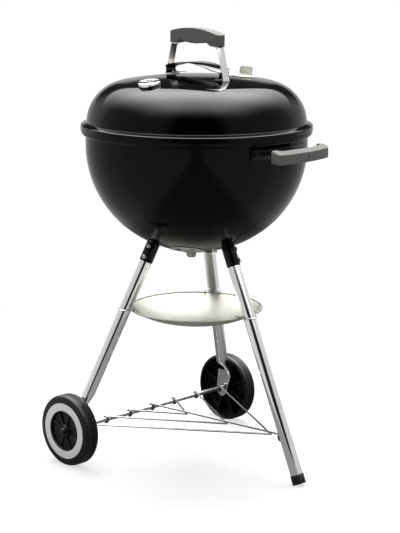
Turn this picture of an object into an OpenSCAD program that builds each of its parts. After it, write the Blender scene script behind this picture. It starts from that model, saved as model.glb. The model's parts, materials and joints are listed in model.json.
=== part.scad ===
// Kettle charcoal grill: a bowl on three tube legs, with a lid, two grates,
// an ash pan, a wire rack, two wheels and sliding dampers.
// Millimetres, +Z up, +X towards the single foot leg and the side handle.

/* [Bowl] */
// Outer radius of the bowl's wall
bowl_r = 233; // [225:0.5:240]
// Thickness of the bowl's steel
bowl_wall = 1; // [0.8:0.1:1.6]
// Distance from the bowl's axis to the centre of its wall's curve
bowl_knuckle_in = 9.5; // [5:0.5:14]
// How much larger the radius of the bowl's base is than that of its wall's curve
bowl_base_more = 15.5; // [14.5:0.5:18]
// Height of the place where the bowl's wall begins to curve in
bowl_shoulder_z = 678.5; // [640:0.5:690]
// Height of the centre of the bowl's rolled rim
rim_z = 717.5; // [700:0.5:735]
// Outer radius of the rim's roll
rim_roll_r = 4.9; // [4:0.1:6]
// Length of the straight part that hangs down from the rim's roll
rim_drop = 11.5; // [6:0.5:15]

/* [Lid] */
// Outer radius of the lid's wall
lid_r = 230.5; // [222:0.5:231]
// Thickness of the lid's steel
lid_wall = 1; // [0.8:0.1:1.6]
// Radius of the curve that turns the lid's wall towards its crown
lid_knuckle_r = 87; // [70:1:110]
// Radius of the lid's gently domed crown
lid_crown_r = 950; // [700:10:1400]
// Depth of the straight skirt below the lid's flange
lid_skirt = 9.2; // [5:0.2:14]
// Direction of the lid's handle, seen from above
lid_turn = -8; // [-20:1:20]

/* [Lid handle] */
// Length of the grip
grip_len = 168; // [140:1:200]
// Width of the grip
grip_w = 24; // [20:1:34]
// Height of the top of the grip above the floor
grip_top_z = 921; // [905:1:940]
// Height of the grip's end, from its foot to its top corner
grip_end_h = 23.5; // [20:0.5:30]
// Rise of the grip's arched top between its ends and its middle
grip_rise = 11; // [5:0.5:16]
// Width of the two straps that carry the grip
strap_w = 16; // [12:1:20]
// Thickness of the straps
strap_t = 2.2; // [1.5:0.1:3]
// Distance from the handle's middle to the straps' upper bends
strap_top_x = 79; // [70:1:88]
// Distance from the handle's middle to the straps' lower bends
strap_foot_x = 98; // [92:1:104]
// Length of the straps' feet, which turn inward along the lid
strap_foot = 27; // [25:1:32]
// Width of the heat shield under the grip
shield_w = 50; // [40:1:60]
// Thickness of the heat shield
shield_t = 1.2; // [0.8:0.1:2]
// Height of the middle of the heat shield above the floor
shield_top_z = 849.5; // [842:0.5:860]
// Distance from the straps' lower bends in to the centres of the heat shield's curled ends
shield_inset = 13.5; // [12:0.5:18]

/* [Thermometer] */
// Outer radius of the thermometer's bezel
gauge_r = 23; // [18:0.5:28]
// Height of the bezel
gauge_h = 9; // [7:0.5:12]
// Distance of the thermometer from the middle of the lid
gauge_at = 148; // [120:1:150]
// Direction of the thermometer, seen from above
gauge_turn = -85.5; // [-100:0.5:-70]
// Direction of the needle when the lid is cold
needle_turn = -45; // [-60:5:60]
// Length of the probe inside the lid
probe_len = 45; // [30:1:60]
// Radius of the probe
probe_r = 2.5; // [2:0.1:4]

/* [Dampers] */
// Radius of the lid's damper disc
lid_damper_r = 35.5; // [30:0.5:40]
// Distance of the lid's damper from the middle of the lid
lid_damper_at = 95; // [85:1:105]
// Direction of the lid's damper, seen from above
lid_damper_turn = 67; // [50:1:90]
// Direction of the tab on the lid's damper, from the way out of the lid's middle
lid_tab_turn = 44; // [0:1:60]
// Radius of the bowl's three damper discs
bowl_damper_r = 36; // [30:0.5:38]
// Distance of the bowl's dampers from its middle
bowl_damper_at = 78; // [72:1:84]
// Thickness of the damper discs
damper_t = 1; // [0.8:0.1:1.5]
// Width of the upturned tab on the lid's damper
lid_tab_w = 29; // [20:1:34]
// Height of the tip of that tab over the lid
lid_tab_h = 20; // [10:1:22]
// Width of the tabs on the bowl's dampers
bowl_tab_w = 21; // [14:1:28]
// Depth of the tips of those tabs under the bowl
bowl_tab_h = 11; // [8:1:18]
// Radius of the air holes
air_hole_r = 7.2; // [5:0.1:7.5]
// Distance of the air holes from a damper's rivet
air_hole_at = 21; // [20:0.5:22]

/* [Grates] */
// Gap between the cooking grate and the bowl's wall
cooking_gap = 10; // [6:1:22]
// Height of the middle of the cooking grate's ring
cooking_z = 686; // [670:1:695]
// How much smaller the charcoal grate's radius is than that of the bowl's mouth
charcoal_gap = 64; // [60:1:82]
// Height of the middle of the charcoal grate's ring
charcoal_z = 548; // [540:1:560]
// Radius of the cooking grate's wires
cooking_wire_r = 2; // [1.5:0.1:3]
// Distance between the cooking grate's wires
cooking_pitch = 17; // [14:0.5:22]
// Radius of the charcoal grate's wires
charcoal_wire_r = 3; // [2.5:0.1:4]
// Distance between the charcoal grate's wires
charcoal_pitch = 28; // [20:1:36]

/* [Legs] */
// Outer radius of the leg tubes
leg_r = 12.7; // [11:0.1:14]
// Thickness of the leg tubes' wall
leg_wall = 1.2; // [0.9:0.1:2]
// Distance from the kettle's middle to a leg's line where that meets the floor
leg_foot_r = 303; // [290:1:315]
// Angle between a leg and the vertical
leg_tilt = 24; // [22:0.5:26]
// Radial play between a leg and its socket or cap
leg_play = 0.2; // [0.05:0.05:0.4]
// Thickness of the sockets' wall
socket_wall = 1.4; // [1:0.1:2.5]
// Length of the sockets along the leg
socket_len = 42; // [30:1:55]
// Wall thickness of the foot cap
cap_wall = 1.2; // [1:0.1:2.5]
// Length of the foot cap
cap_len = 20; // [14:1:30]
// Depth of the flat sole that is cut across the foot cap's corner
sole_depth = 3; // [2:0.1:3.5]
// Thickness of the flattened ends of the wheel legs
blade_t = 2.6; // [2:0.1:3.5]
// Half width of the flattened ends
blade_half_w = 19.5; // [14:0.5:22]
// Height at which the wheel legs' tubes begin to flatten
crush_z = 126; // [115:1:150]

/* [Wheels] */
// Outer radius of the wheels
wheel_r = 76.2; // [65:0.1:90]
// Width of the wheels' tread
wheel_w = 32; // [24:1:40]
// Distance from the middle to the inner face of a wheel
wheel_in_y = 227.2; // [226:0.2:240]
// Distance from the kettle's middle back to the axle
axle_back = 137; // [130:1:145]
// Radius of the axle
axle_r = 4.75; // [4:0.05:6]
// Running clearance of the wheels on the axle
axle_play = 0.08; // [0.02:0.01:0.1]
// Inner radius of the pale band on each wheel
band_in_r = 43.5; // [36:0.5:46]
// Outer radius of the pale band on each wheel
band_out_r = 60; // [52:0.5:62]
// Thickness of the band
band_t = 1; // [0.5:0.1:1.5]
// Depth of the recess inside the band
wheel_recess = 6; // [3:0.5:9]
// Number of spokes on a wheel
spokes = 8; // [5:1:12]

/* [Rack and ash pan] */
// Radius of the rack's wires
rack_wire_r = 2; // [1.5:0.1:3]
// Rise of the rack from the axle towards the foot leg, in degrees
rack_rise = 2.1; // [0:0.1:4]
// Distance along the rack from the foot leg back to the outer wire's point
rack_outer_back = 25; // [20:0.5:60]
// Distance along the rack from the axle to the middle wire's point
rack_middle_x = 231; // [200:1:260]
// Distance along the rack from the axle to the inner wire's point
rack_inner_x = 110; // [90:1:140]
// Distance from the middle to the middle wire's loops on the axle
rack_middle_y = 138; // [120:1:160]
// Distance from the middle to the inner wire's loops on the axle
rack_inner_y = 68.5; // [50:0.5:90]
// Height of the ash pan's rim
pan_z = 328; // [300:1:360]
// Depth of the ash pan
pan_depth = 29; // [20:1:36]
// Radius of the flat middle of the ash pan
pan_flat_r = 42; // [30:1:60]
// Thickness of the ash pan's sheet
pan_t = 1; // [0.7:0.1:1.5]
// Radius of the bead around the ash pan
pan_bead_r = 2; // [1.5:0.1:3]
// Radius of the ash pan's spring clips' wire
clip_wire_r = 1.3; // [1:0.1:2]

/* [Side handle] */
// Direction of the side handle, seen from above
side_turn = 4; // [-10:1:10]
// Length of the side handle along the bowl
side_len = 168; // [150:1:180]
// Distance from the kettle's middle to the handle's face
side_face_x = 295; // [288:1:305]
// Distance from the kettle's middle to the back of the handle's arms
side_back_x = 262; // [256:1:266]
// Radius of the arched face, seen from above
side_arc_r = 330; // [250:5:400]
// Thickness of the handle's front bar
side_bar = 14; // [12:0.5:18]
// Width of the handle's two arms
side_arm = 17; // [14:0.5:22]
// Height of the handle's underside above the floor
side_low_z = 669; // [655:0.5:675]
// Height of the handle's upright face
side_face_h = 20; // [18:0.5:24]
// Height of the ridge behind the face over the face's upper edge
side_ridge_h = 7.5; // [3:0.5:9]
// Radius of the round hole in the handle's face
side_hole_r = 2.5; // [2:0.1:3.5]
// Thickness of the bracket on the bowl
bracket_t = 2; // [1.5:0.1:3]

/* [Hidden] */
$fn = 72;

// Colours
enamel = [0.02, 0.02, 0.022];
bright = [0.78, 0.78, 0.8];
satin = [0.72, 0.71, 0.68];
grip_grey = [0.45, 0.45, 0.44];
black = [0.05, 0.05, 0.05];

// Clearances
seat_gap = 0.3;
slip = 0.1;
hair = 0.01;
weld = 0.05;

// Bowl: the knuckle and the round base meet where their arcs are tangent
bowl_knuckle_r = bowl_r - bowl_knuckle_in;
bowl_base_r = bowl_knuckle_r + bowl_base_more;
bowl_knuckle = [bowl_knuckle_in, bowl_shoulder_z];
bowl_base_z = bowl_shoulder_z + sqrt(pow(bowl_base_more, 2) - pow(bowl_knuckle_in, 2));
bowl_tangent = atan2(bowl_shoulder_z - bowl_base_z, bowl_knuckle[0]);
cooking_r = bowl_r - bowl_wall - cooking_gap;
charcoal_r = bowl_r - bowl_wall - charcoal_gap;
rim_roll = [bowl_r + rim_roll_r - bowl_wall, rim_z];
rim_out_r = rim_roll[0] + rim_roll_r;

// Lid flange: a cone that rests on the bowl's rim, and a skirt that hangs outside it
flange_slope = 30;
fillet_r = 2;
corner_r = 4;
seam_turn = 3.5;
skirt_play = 0.4;
skirt_r = rim_out_r + skirt_play + lid_wall;
corner = [skirt_r - corner_r, 0];
flange_low = corner + corner_r * [sin(flange_slope), cos(flange_slope)];
// Height of the flange's upper face over the middle of the rim's roll
flange_over_rim = rim_z + (rim_roll_r + seat_gap + lid_wall) / cos(flange_slope);
flange_low_z = flange_over_rim - (flange_low[0] - rim_roll[0]) * tan(flange_slope);
corner_z = flange_low_z - flange_low[1];
fillet_x = lid_r + fillet_r;
fillet_foot_x = fillet_x - fillet_r * sin(flange_slope);
fillet_z = flange_over_rim + (rim_roll[0] - fillet_foot_x) * tan(flange_slope) + fillet_r * cos(flange_slope);
lid_knuckle = [lid_r - lid_knuckle_r * cos(seam_turn), fillet_z - lid_knuckle_r * sin(seam_turn)];
lid_crown_z = lid_knuckle[1] - sqrt(pow(lid_crown_r - lid_knuckle_r, 2) - pow(lid_knuckle[0], 2));
lid_tangent = atan2(lid_knuckle[1] - lid_crown_z, lid_knuckle[0]);
skirt_low_z = corner_z - lid_skirt;

// Legs
leg_hit = leg_reach(bowl_base_r);
socket_low = leg_hit - socket_len;
socket_bore = leg_r + leg_play;
socket_r = socket_bore + socket_wall;
tube_top_gap = 3;
tube_top = leg_hit - tube_top_gap;
cap_bore = leg_r + leg_play;
cap_r = cap_bore + cap_wall;
cap_low = (cap_r * sin(leg_tilt) - sole_depth) / cos(leg_tilt);
cap_floor = 5;
tube_low = cap_low + cap_floor;
crush_s = crush_z / cos(leg_tilt);
blade_y = wheel_in_y - 3.9 - blade_t / 2;
blade_top_z = wheel_r + 29;
neck_step = 0.6;
neck_low_z = blade_top_z - 3;
neck_shift = 5;

// Screws
screw_r = 2.5;
screw_head_r = 4.8;
screw_head_h = 3;

// Where the object stands: the middle of its box lies on the Z axis
x_max = max(leg_foot_r + cap_r * cos(leg_tilt) - cap_low * sin(leg_tilt), side_face_x);
x_min = -max(skirt_r, axle_back + wheel_r);
kettle_x = -(x_min + x_max) / 2;

// Points of an arc about c, from angle a to angle b in n steps
function arc(c, r, a, b, n) = [for (i = [0:n]) let (t = a + (b - a) * i / n) c + r * [cos(t), sin(t)]];

// The same points in the other order
function reversed(p) = [for (i = [len(p) - 1:-1:0]) p[i]];

// Unit vector, and the vector turned a quarter turn to the left
function unit(v) = v / norm(v);
function left_of(v) = [-v[1], v[0]];

// Outline of a bent sheet of thickness t whose middle follows the points p
function bend_normal(p, i) = let (
    a = unit(left_of(p[max(i, 1)] - p[max(i, 1) - 1])),
    b = unit(left_of(p[min(i, len(p) - 2) + 1] - p[min(i, len(p) - 2)])),
    m = unit(a + b)
  ) m / (m * a);
function sheet(p, t) = concat(
    [for (i = [0:len(p) - 1]) p[i] + bend_normal(p, i) * t / 2],
    [for (i = [len(p) - 1:-1:0]) p[i] - bend_normal(p, i) * t / 2]
  );

// Distance along a leg from the floor to a sphere of radius r about the base's centre
function leg_reach(r) = let (
    to_leg = [leg_foot_r, -bowl_base_z],
    along = to_leg * [-sin(leg_tilt), cos(leg_tilt)]
  ) -along - sqrt(along * along - to_leg * to_leg + r * r);

// Distance of a leg's line from the kettle's axis at height z
function leg_x(z) = leg_foot_r - z * tan(leg_tilt);

// Height of the lid's crown at distance x, raised by h along its normal
function crown_at(x, h) = let (a = asin(x / lid_crown_r))
  [0, lid_crown_z] + (lid_crown_r + h) * [sin(a), cos(a)];

// Places
module at_kettle() translate([kettle_x, 0, 0]) children();
module at_leg(turn) at_kettle() rotate([0, 0, turn])
  translate([leg_foot_r, 0, 0]) rotate([0, -leg_tilt, 0]) children();
module at_crown(turn, away) at_kettle() translate([0, 0, lid_crown_z]) rotate([0, 0, turn])
  rotate([0, asin(away / lid_crown_r), 0]) translate([0, 0, lid_crown_r]) children();
module at_base(turn, away) at_kettle() translate([0, 0, bowl_base_z]) rotate([0, 0, turn])
  rotate([0, 180 - asin(away / bowl_base_r), 0]) translate([0, 0, bowl_base_r]) children();
module at_handle() at_kettle() rotate([0, 0, lid_turn]) children();
module at_rack() at_kettle()
  translate([-axle_back, 0, rack_z]) rotate([0, -rack_rise, 0]) children();
module upright(w) rotate([90, 0, 0]) translate([0, 0, -w / 2]) linear_extrude(w) children();

// A straight wire of radius r from a to b
module wire(a, b, r) {
  v = b - a;
  translate(a) rotate([0, acos(v[2] / norm(v)), atan2(v[1], v[0])]) cylinder(h = norm(v), r = r);
}

// A wire through the points p, with round joints
module bent_wire(p, r) {
  for (i = [0:len(p) - 2]) wire(p[i], p[i + 1], r);
  for (i = [1:len(p) - 2]) translate(p[i]) sphere(r + weld);
}

// A bend in a wire: part of a ring in the plane z = 0, from the +X axis on
module elbow(bend_r, r, turn) rotate_extrude(angle = turn) translate([bend_r, 0]) circle(r, $fn = 24);

// An upright loop of wire over the X axis, with its feet at z = 0
module wire_arch(half, rise, bend_r, r) {
  for (side = [-1, 1]) translate([side * half, 0, 0]) cylinder(h = rise - bend_r, r = r);
  for (side = [-1, 1]) translate([side * (half - bend_r), 0, rise - bend_r])
    rotate([90, 0, 0]) rotate([0, 0, 45 - 45 * side]) elbow(bend_r, r, 90);
  translate([bend_r - half, 0, rise]) rotate([0, 90, 0]) cylinder(h = 2 * (half - bend_r), r = r);
}

// A wire ring in the plane z = 0
module wire_ring(ring_r, r) rotate_extrude() translate([ring_r, 0]) circle(r, $fn = 24);

// The round bar that cuts a hole of radius r through a sheet at z = 0
drill_len = 20;
module drill(r) translate([0, 0, -drill_len / 2]) cylinder(h = drill_len, r = r);

// A pan-head screw along Z, its head above z = 0
module screw(shank_r, shank_len, head_r, head_h) {
  translate([0, 0, -shank_len]) cylinder(h = shank_len + head_h / 2, r = shank_r);
  cylinder(h = head_h * 0.6, r = head_r);
  translate([0, 0, head_h * 0.6]) cylinder(h = head_h * 0.4, r1 = head_r, r2 = head_r * 0.6);
}

// ---- Bowl ----

function bowl_side(inset) = concat(
    arc([0, bowl_base_z], bowl_base_r - inset, -90, bowl_tangent, 12),
    arc(bowl_knuckle, bowl_knuckle_r - inset, bowl_tangent, 0, 16),
    arc(rim_roll, rim_roll_r - bowl_wall + inset, 180, 0, 10),
    arc(rim_roll - [0, rim_drop], rim_roll_r - bowl_wall + inset, 0, -80, 6)
  );

air_turns = [45, 135, 225, 315];
bowl_damper_turns = [-60, 60, 180];
rivet_r = 2.5;
rivet_head_r = 6;
rivet_head_h = 2;

module air_holes() for (a = air_turns) rotate([0, 0, a]) translate([air_hole_at, 0, 0]) drill(air_hole_r);

module bowl() color(enamel) difference() {
  at_kettle() rotate_extrude($fn = 180) polygon(concat(bowl_side(0), reversed(bowl_side(bowl_wall))));
  for (turn = bowl_damper_turns) at_base(turn, bowl_damper_at) {
    air_holes();
    drill(rivet_r);
  }
}

// Bent steel tabs, welded inside the bowl, that carry a grate's ring from below
module grate_tabs(turns, ring_r, ring_z, wire_r) {
  tab_w = 16;
  tab_t = 2;
  shelf_z = ring_z - wire_r;
  reach = ring_r - 3 * wire_r;
  at_kettle() intersection() {
    for (turn = turns) rotate([0, 0, turn]) translate([reach, -tab_w / 2, shelf_z - tab_t])
      cube([bowl_r - reach, tab_w, tab_t]);
    rotate_extrude($fn = 180) polygon(concat(bowl_side_solid(bowl_wall), [[0, rim_z]]));
  }
}

function bowl_side_solid(inset) = concat(
    arc([0, bowl_base_z], bowl_base_r - inset, -90, bowl_tangent, 12),
    arc(bowl_knuckle, bowl_knuckle_r - inset, bowl_tangent, 0, 16),
    [[bowl_r - inset, rim_z]]
  );

module cooking_grate_tabs() color(enamel)
  grate_tabs([45, 135, 225, 315], cooking_r - cooking_wire_r, cooking_z, cooking_wire_r + seat_gap);
module charcoal_grate_tabs() color(enamel)
  grate_tabs([0, 90, 180, 270], charcoal_r - charcoal_wire_r, charcoal_z, charcoal_wire_r + seat_gap);

// A dished disc that turns about its rivet on a dome of radius dome_r
module damper(disc_r, dome_r) {
  low_r = dome_r + seat_gap;
  spread = asin(disc_r / low_r);
  difference() {
    rotate_extrude($fn = 96) polygon(concat(
      arc([0, -dome_r], low_r, 90, 90 - spread, 5),
      arc([0, -dome_r], low_r + damper_t, 90 - spread, 90, 5)
    ));
    air_holes();
    drill(rivet_r + axle_play);
  }
}

// The upturned tab at the edge of a damper, with round corners
tab_corner_r = 6;
tab_seat = 4;
tab_root = 1.5;
tab_lean = 2.5;
module damper_tab(disc_r, dome_r, tab_w, tab_h) {
  edge_z = sqrt(pow(dome_r + seat_gap, 2) - disc_r * disc_r) - dome_r;
  top_z = edge_z + tab_h;
  corner_y = tab_w / 2 - tab_corner_r;
  intersection() {
    upright(tab_w) polygon(sheet([
      [disc_r - tab_seat, edge_z + damper_t * 0.9],
      [disc_r + tab_root, edge_z + damper_t * 0.9],
      [disc_r + tab_root + tab_lean, top_z]
    ], damper_t));
    rotate([90, 0, 90]) linear_extrude(disc_r + 2 * tab_seat) polygon(concat(
      [[-tab_w / 2, edge_z]],
      arc([-corner_y, top_z - tab_corner_r], tab_corner_r, 180, 90, 6),
      arc([corner_y, top_z - tab_corner_r], tab_corner_r, 90, 0, 6),
      [[tab_w / 2, edge_z]]
    ));
  }
}

module bowl_damper(turn) color(satin) at_base(turn, bowl_damper_at) union() {
  damper(bowl_damper_r, bowl_base_r);
  damper_tab(bowl_damper_r, bowl_base_r, bowl_tab_w, bowl_tab_h);
}
module front_damper() bowl_damper(bowl_damper_turns[0]);
module back_damper() bowl_damper(bowl_damper_turns[1]);
module wheel_side_damper() bowl_damper(bowl_damper_turns[2]);

// A rivet through a damper and a wall of the dome of radius dome_r
module damper_rivet(dome_r, wall) {
  stack = seat_gap + damper_t + seat_gap;
  under = wall + slip + pow(rivet_head_r, 2) / (2 * dome_r);
  translate([0, 0, -under - rivet_head_h]) cylinder(h = rivet_head_h, r = rivet_head_r - 1);
  translate([0, 0, -under - hair]) cylinder(h = under + stack + 2 * hair, r = rivet_r);
  translate([0, 0, stack]) cylinder(h = rivet_head_h, r1 = rivet_head_r, r2 = rivet_head_r - 2);
}
module bowl_damper_rivets() color(bright)
  for (turn = bowl_damper_turns) at_base(turn, bowl_damper_at) damper_rivet(bowl_base_r, bowl_wall);

// ---- Legs ----

leg_turns = [0, 120, -120];
leg_screw_at = [socket_len * 0.22, socket_len * 0.8];
leg_screw_turn = 45;
leg_screw_len = 3.5;

module leg_socket(turn) color(black) difference() {
  at_leg(turn) translate([0, 0, socket_low]) cylinder(h = socket_len + 2 * socket_r, r = socket_r);
  at_leg(turn) translate([0, 0, socket_low - 1]) cylinder(h = tube_top - socket_low + 3, r = socket_bore);
  at_kettle() rotate_extrude($fn = 180) polygon(concat(bowl_side_solid(0), [[0, rim_z]]));
  for (s = leg_screw_at) leg_screw_place(turn, s) translate([0, 0, -leg_screw_len])
    cylinder(h = 2 * leg_screw_len, r = screw_r);
}
module foot_leg_socket() leg_socket(leg_turns[0]);
module right_leg_socket() leg_socket(leg_turns[1]);
module left_leg_socket() leg_socket(leg_turns[2]);

// A screw's place on the outside of a socket, s above the socket's lower end
module leg_screw_place(turn, s) at_leg(turn) translate([0, 0, socket_low + s])
  rotate([0, 0, leg_screw_turn]) rotate([0, 90, 0]) translate([0, 0, socket_r]) children();

module leg_screws() color(bright) for (turn = leg_turns) for (s = leg_screw_at)
  leg_screw_place(turn, s) screw(screw_r, leg_screw_len, screw_head_r, screw_head_h);

module leg_tube(turn, low) difference() {
  at_leg(turn) translate([0, 0, low]) cylinder(h = tube_top - low, r = leg_r);
  at_leg(turn) translate([0, 0, low + 2]) cylinder(h = tube_top - low, r = leg_r - leg_wall);
  for (s = leg_screw_at) leg_screw_place(turn, s) translate([0, 0, -leg_screw_len - 1])
    cylinder(h = 2 * leg_screw_len, r = screw_r);
}

module foot_leg() color(bright) leg_tube(leg_turns[0], tube_low);

// The wheel leg's tube, its flattened neck and the upright blade with the axle's hole
module wheel_leg(side) color(bright) difference() {
  union() {
    leg_tube(side * leg_turns[1], crush_s);
    hull() {
      at_leg(side * leg_turns[1]) translate([0, 0, crush_s + neck_step])
        cylinder(h = neck_step, r = leg_r - neck_step, $fn = 24);
      at_kettle() translate([neck_shift - axle_back, side * blade_y, neck_low_z])
        cube([2 * (blade_half_w - neck_step), blade_t - neck_step, 1], center = true);
    }
    at_kettle() translate([-axle_back, side * blade_y, wheel_r]) upright(blade_t) {
      circle(blade_half_w);
      polygon([
        [-blade_half_w, 0], [blade_half_w, 0],
        [neck_shift + blade_half_w, blade_top_z - wheel_r], [neck_shift - blade_half_w, blade_top_z - wheel_r]
      ]);
    }
  }
  at_kettle() translate([-axle_back, side * blade_y, wheel_r]) upright(blade_t + 2) circle(axle_r);
}
module right_wheel_leg() wheel_leg(1);
module left_wheel_leg() wheel_leg(-1);

module foot_cap() color(black) difference() {
  at_leg(leg_turns[0]) translate([0, 0, cap_low]) cylinder(h = cap_len, r = cap_r);
  at_leg(leg_turns[0]) translate([0, 0, tube_low]) cylinder(h = cap_len, r = cap_bore);
  at_kettle() translate([leg_foot_r - cap_len, -cap_len, -cap_len]) cube([2 * cap_len, 2 * cap_len, cap_len]);
}

// ---- Axle and wheels ----

axle_end_y = wheel_in_y + wheel_w + 2.5;
cap_nut_r = 8;
cap_nut_h = 6;

module axle() color(bright) at_kettle() translate([-axle_back, 0, wheel_r])
  upright(2 * axle_end_y) circle(axle_r);

module axle_caps() color(bright) for (side = [-1, 1])
  at_kettle() translate([-axle_back, side * (wheel_in_y + wheel_w + seat_gap), wheel_r])
    rotate([-90 * side, 0, 0]) difference() {
      cylinder(h = cap_nut_h, r1 = cap_nut_r, r2 = cap_nut_r - 2);
      translate([0, 0, -1]) cylinder(h = axle_end_y - wheel_in_y - wheel_w - seat_gap + 1, r = axle_r);
    }

hub_r = 13;
web_t = 3;
tread_t = 7;
lip_t = 2;
rib_t = 2.5;
rib_low = 8;
rib_high = 2.5;
hub_in = 3.6;
web_low = wheel_w - wheel_recess - web_t;
plate_low = wheel_w - band_t - web_t;

// Half section of a wheel: y = 0 is its inner face, and its outer face is at wheel_w
module wheel_section() {
  translate([axle_r + axle_play, -hub_in]) square([hub_r - axle_r, wheel_w + hub_in]);
  translate([axle_r + axle_play, web_low]) square([band_in_r - axle_r - lip_t / 2, web_t]);
  difference() {
    polygon([
      [band_in_r - lip_t, web_low], [band_in_r - lip_t, wheel_w - 1],
      [band_in_r, wheel_w], [band_out_r, wheel_w], [wheel_r - 9, wheel_w - 1],
      [wheel_r - 2, wheel_w - 5], [wheel_r, wheel_w - 9], [wheel_r, 4], [wheel_r - 2, 0],
      [wheel_r - tread_t, 0], [wheel_r - tread_t, wheel_w - 11], [band_out_r + 4, plate_low],
      [band_in_r + lip_t, plate_low], [band_in_r + lip_t, web_low]
    ]);
    translate([band_in_r, wheel_w - band_t]) square([band_out_r - band_in_r, band_t + 1]);
  }
}

module wheel_frame(side) at_kettle() translate([-axle_back, side * wheel_in_y, wheel_r])
  rotate([-90 * side, 0, 0]) children();

module wheel(side) color(black) wheel_frame(side) union() {
  rotate_extrude($fn = 120) wheel_section();
  for (i = [0:spokes - 1]) rotate([0, 0, (i + 0.5) * 360 / spokes])
    translate([hub_r - 1, -rib_t / 2, rib_low])
      cube([wheel_r - tread_t - hub_r + 2, rib_t, wheel_w - rib_high - rib_low]);
}
module wheel_band(side) color([0.75, 0.75, 0.74]) wheel_frame(side)
  translate([0, 0, wheel_w - band_t]) difference() {
    cylinder(h = band_t, r = band_out_r);
    translate([0, 0, -1]) cylinder(h = band_t + 2, r = band_in_r);
  }
module right_wheel() wheel(1);
module left_wheel() wheel(-1);
module right_wheel_band() wheel_band(1);
module left_wheel_band() wheel_band(-1);

// ---- Wire rack ----

loop_r = axle_r + rack_wire_r + slip / 2;

// A loop around the axle at y
module axle_loop(y) at_kettle() translate([-axle_back, y, wheel_r]) rotate([90, 0, 0])
  wire_ring(loop_r, rack_wire_r);

// A V of wire from two loops at +-y to a point under the spine
module rack_v(y, point_x) {
  tip = [point_x, 0, -2 * rack_wire_r];
  at_rack() bent_wire([[0, -y, 0], tip, [0, y, 0]], rack_wire_r);
  for (side = [-1, 1]) axle_loop(side * y);
}
rack_outer_y = blade_y - blade_t / 2 - rack_wire_r - 4;
rack_z = wheel_r + axle_r + rack_wire_r;
rack_tip_x = (leg_x(rack_z) - leg_r / cos(leg_tilt) + axle_back)
  / (cos(rack_rise) + sin(rack_rise) * tan(leg_tilt));
rack_outer_x = rack_tip_x - rack_outer_back;

module rack_outer_wire() color(bright) rack_v(rack_outer_y, rack_outer_x);
module rack_middle_wire() color(bright) rack_v(rack_middle_y, rack_middle_x);
module rack_inner_wire() color(bright) rack_v(rack_inner_y, rack_inner_x);

// The spine ends in a flat eye that a screw holds to the foot leg, under the wire
eye_r = 9;
eye_t = 1.5;
eye_drop = 7.5;
eye_z = rack_z + rack_tip_x * sin(rack_rise);
module at_rack_eye() at_leg(leg_turns[0])
  translate([0, 0, (eye_z + (leg_r + eye_t) * sin(leg_tilt)) / cos(leg_tilt) - eye_drop])
  rotate([0, -90, 0]) translate([0, 0, leg_r + eye_t]) children();
module rack_spine_wire() color(bright) {
  at_rack() wire([0, 0, 0], [rack_tip_x - eye_t * 0.6, 0, 0], rack_wire_r);
  axle_loop(0);
  difference() {
    at_rack_eye() translate([0, 0, -eye_t]) cylinder(h = eye_t, r = eye_r);
    at_rack_eye() drill(screw_r);
  }
}
module rack_screw() color(bright) at_rack_eye() screw(screw_r, eye_t, screw_head_r, screw_head_h);

// ---- Ash pan ----

pan_r = leg_x(pan_z) - leg_r / cos(leg_tilt) - seat_gap;
pan_floor_z = pan_z - pan_depth;

module ash_pan() color(satin) at_kettle() rotate_extrude($fn = 144) union() {
  polygon(concat(pan_side(0), reversed(pan_side(pan_t))));
  translate([pan_r - pan_bead_r, pan_z]) circle(pan_bead_r, $fn = 24);
}

// The dish rises from its flat middle on one arc, which is level where it starts
pan_run = pan_r - pan_bead_r - pan_flat_r;
pan_arc_r = (pan_run * pan_run + pan_depth * pan_depth) / (2 * pan_depth);
pan_arc_turn = asin(pan_run / pan_arc_r);
function pan_side(inset) = concat(
    [[0, pan_floor_z + inset]],
    arc([pan_flat_r, pan_floor_z + pan_arc_r], pan_arc_r - inset, -90, pan_arc_turn - 90, 14)
  );

// A spring clip: round the outside of a leg, over the pan's bead and down inside it
clip_bend_r = leg_r / cos(leg_tilt) + clip_wire_r * (1 + tan(leg_tilt)) + slip;
clip_z = pan_z + pan_bead_r + clip_wire_r;
clip_hook = 5;
clip_turn_r = 3;
module pan_clip(turn) color(bright) at_kettle() rotate([0, 0, turn]) {
  x = leg_x(clip_z);
  hook_x = pan_r - pan_bead_r * 2 - clip_wire_r - 6;
  arm_x = hook_x + clip_turn_r;
  translate([x, 0, clip_z]) rotate([0, 0, -90]) elbow(clip_bend_r, clip_wire_r, 180);
  for (side = [-1, 1]) translate([0, side * clip_bend_r, 0]) {
    translate([arm_x, 0, clip_z]) rotate([0, 90, 0]) cylinder(h = x - arm_x, r = clip_wire_r);
    translate([arm_x, 0, clip_z - clip_turn_r]) rotate([90, 0, 0]) rotate([0, 0, 90])
      elbow(clip_turn_r, clip_wire_r, 90);
    translate([hook_x, 0, clip_z - clip_hook]) cylinder(h = clip_hook - clip_turn_r, r = clip_wire_r);
  }
}
module foot_pan_clip() pan_clip(leg_turns[0]);
module right_pan_clip() pan_clip(leg_turns[1]);
module left_pan_clip() pan_clip(leg_turns[2]);

// ---- Side handle ----

side_half = side_len / 2;
side_top_z = side_low_z + side_face_h + side_ridge_h;
side_mid_z = (side_low_z + side_top_z) / 2;
side_arc_x = side_face_x - side_arc_r;
side_front_r = 12;
side_back_r = 8;
side_scoop_r = 6;
side_foot_r = 9.5;
side_crown_r = 6.5;
side_screw_len = 15;
side_screw_x = side_back_x + 7;
side_screw_y = side_half - side_arm / 2 - 0.5;
side_sink = 4;
side_hole_z = side_low_z + side_face_h / 2 + 0.5;
tongue_w = 10;
tongue_out = 6;
bracket_h = 20;
bracket_r = bowl_r + bracket_t;
bracket_turn = asin(side_half / bracket_r) + 1;
module at_side() at_kettle() rotate([0, 0, side_turn]) children();

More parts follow.
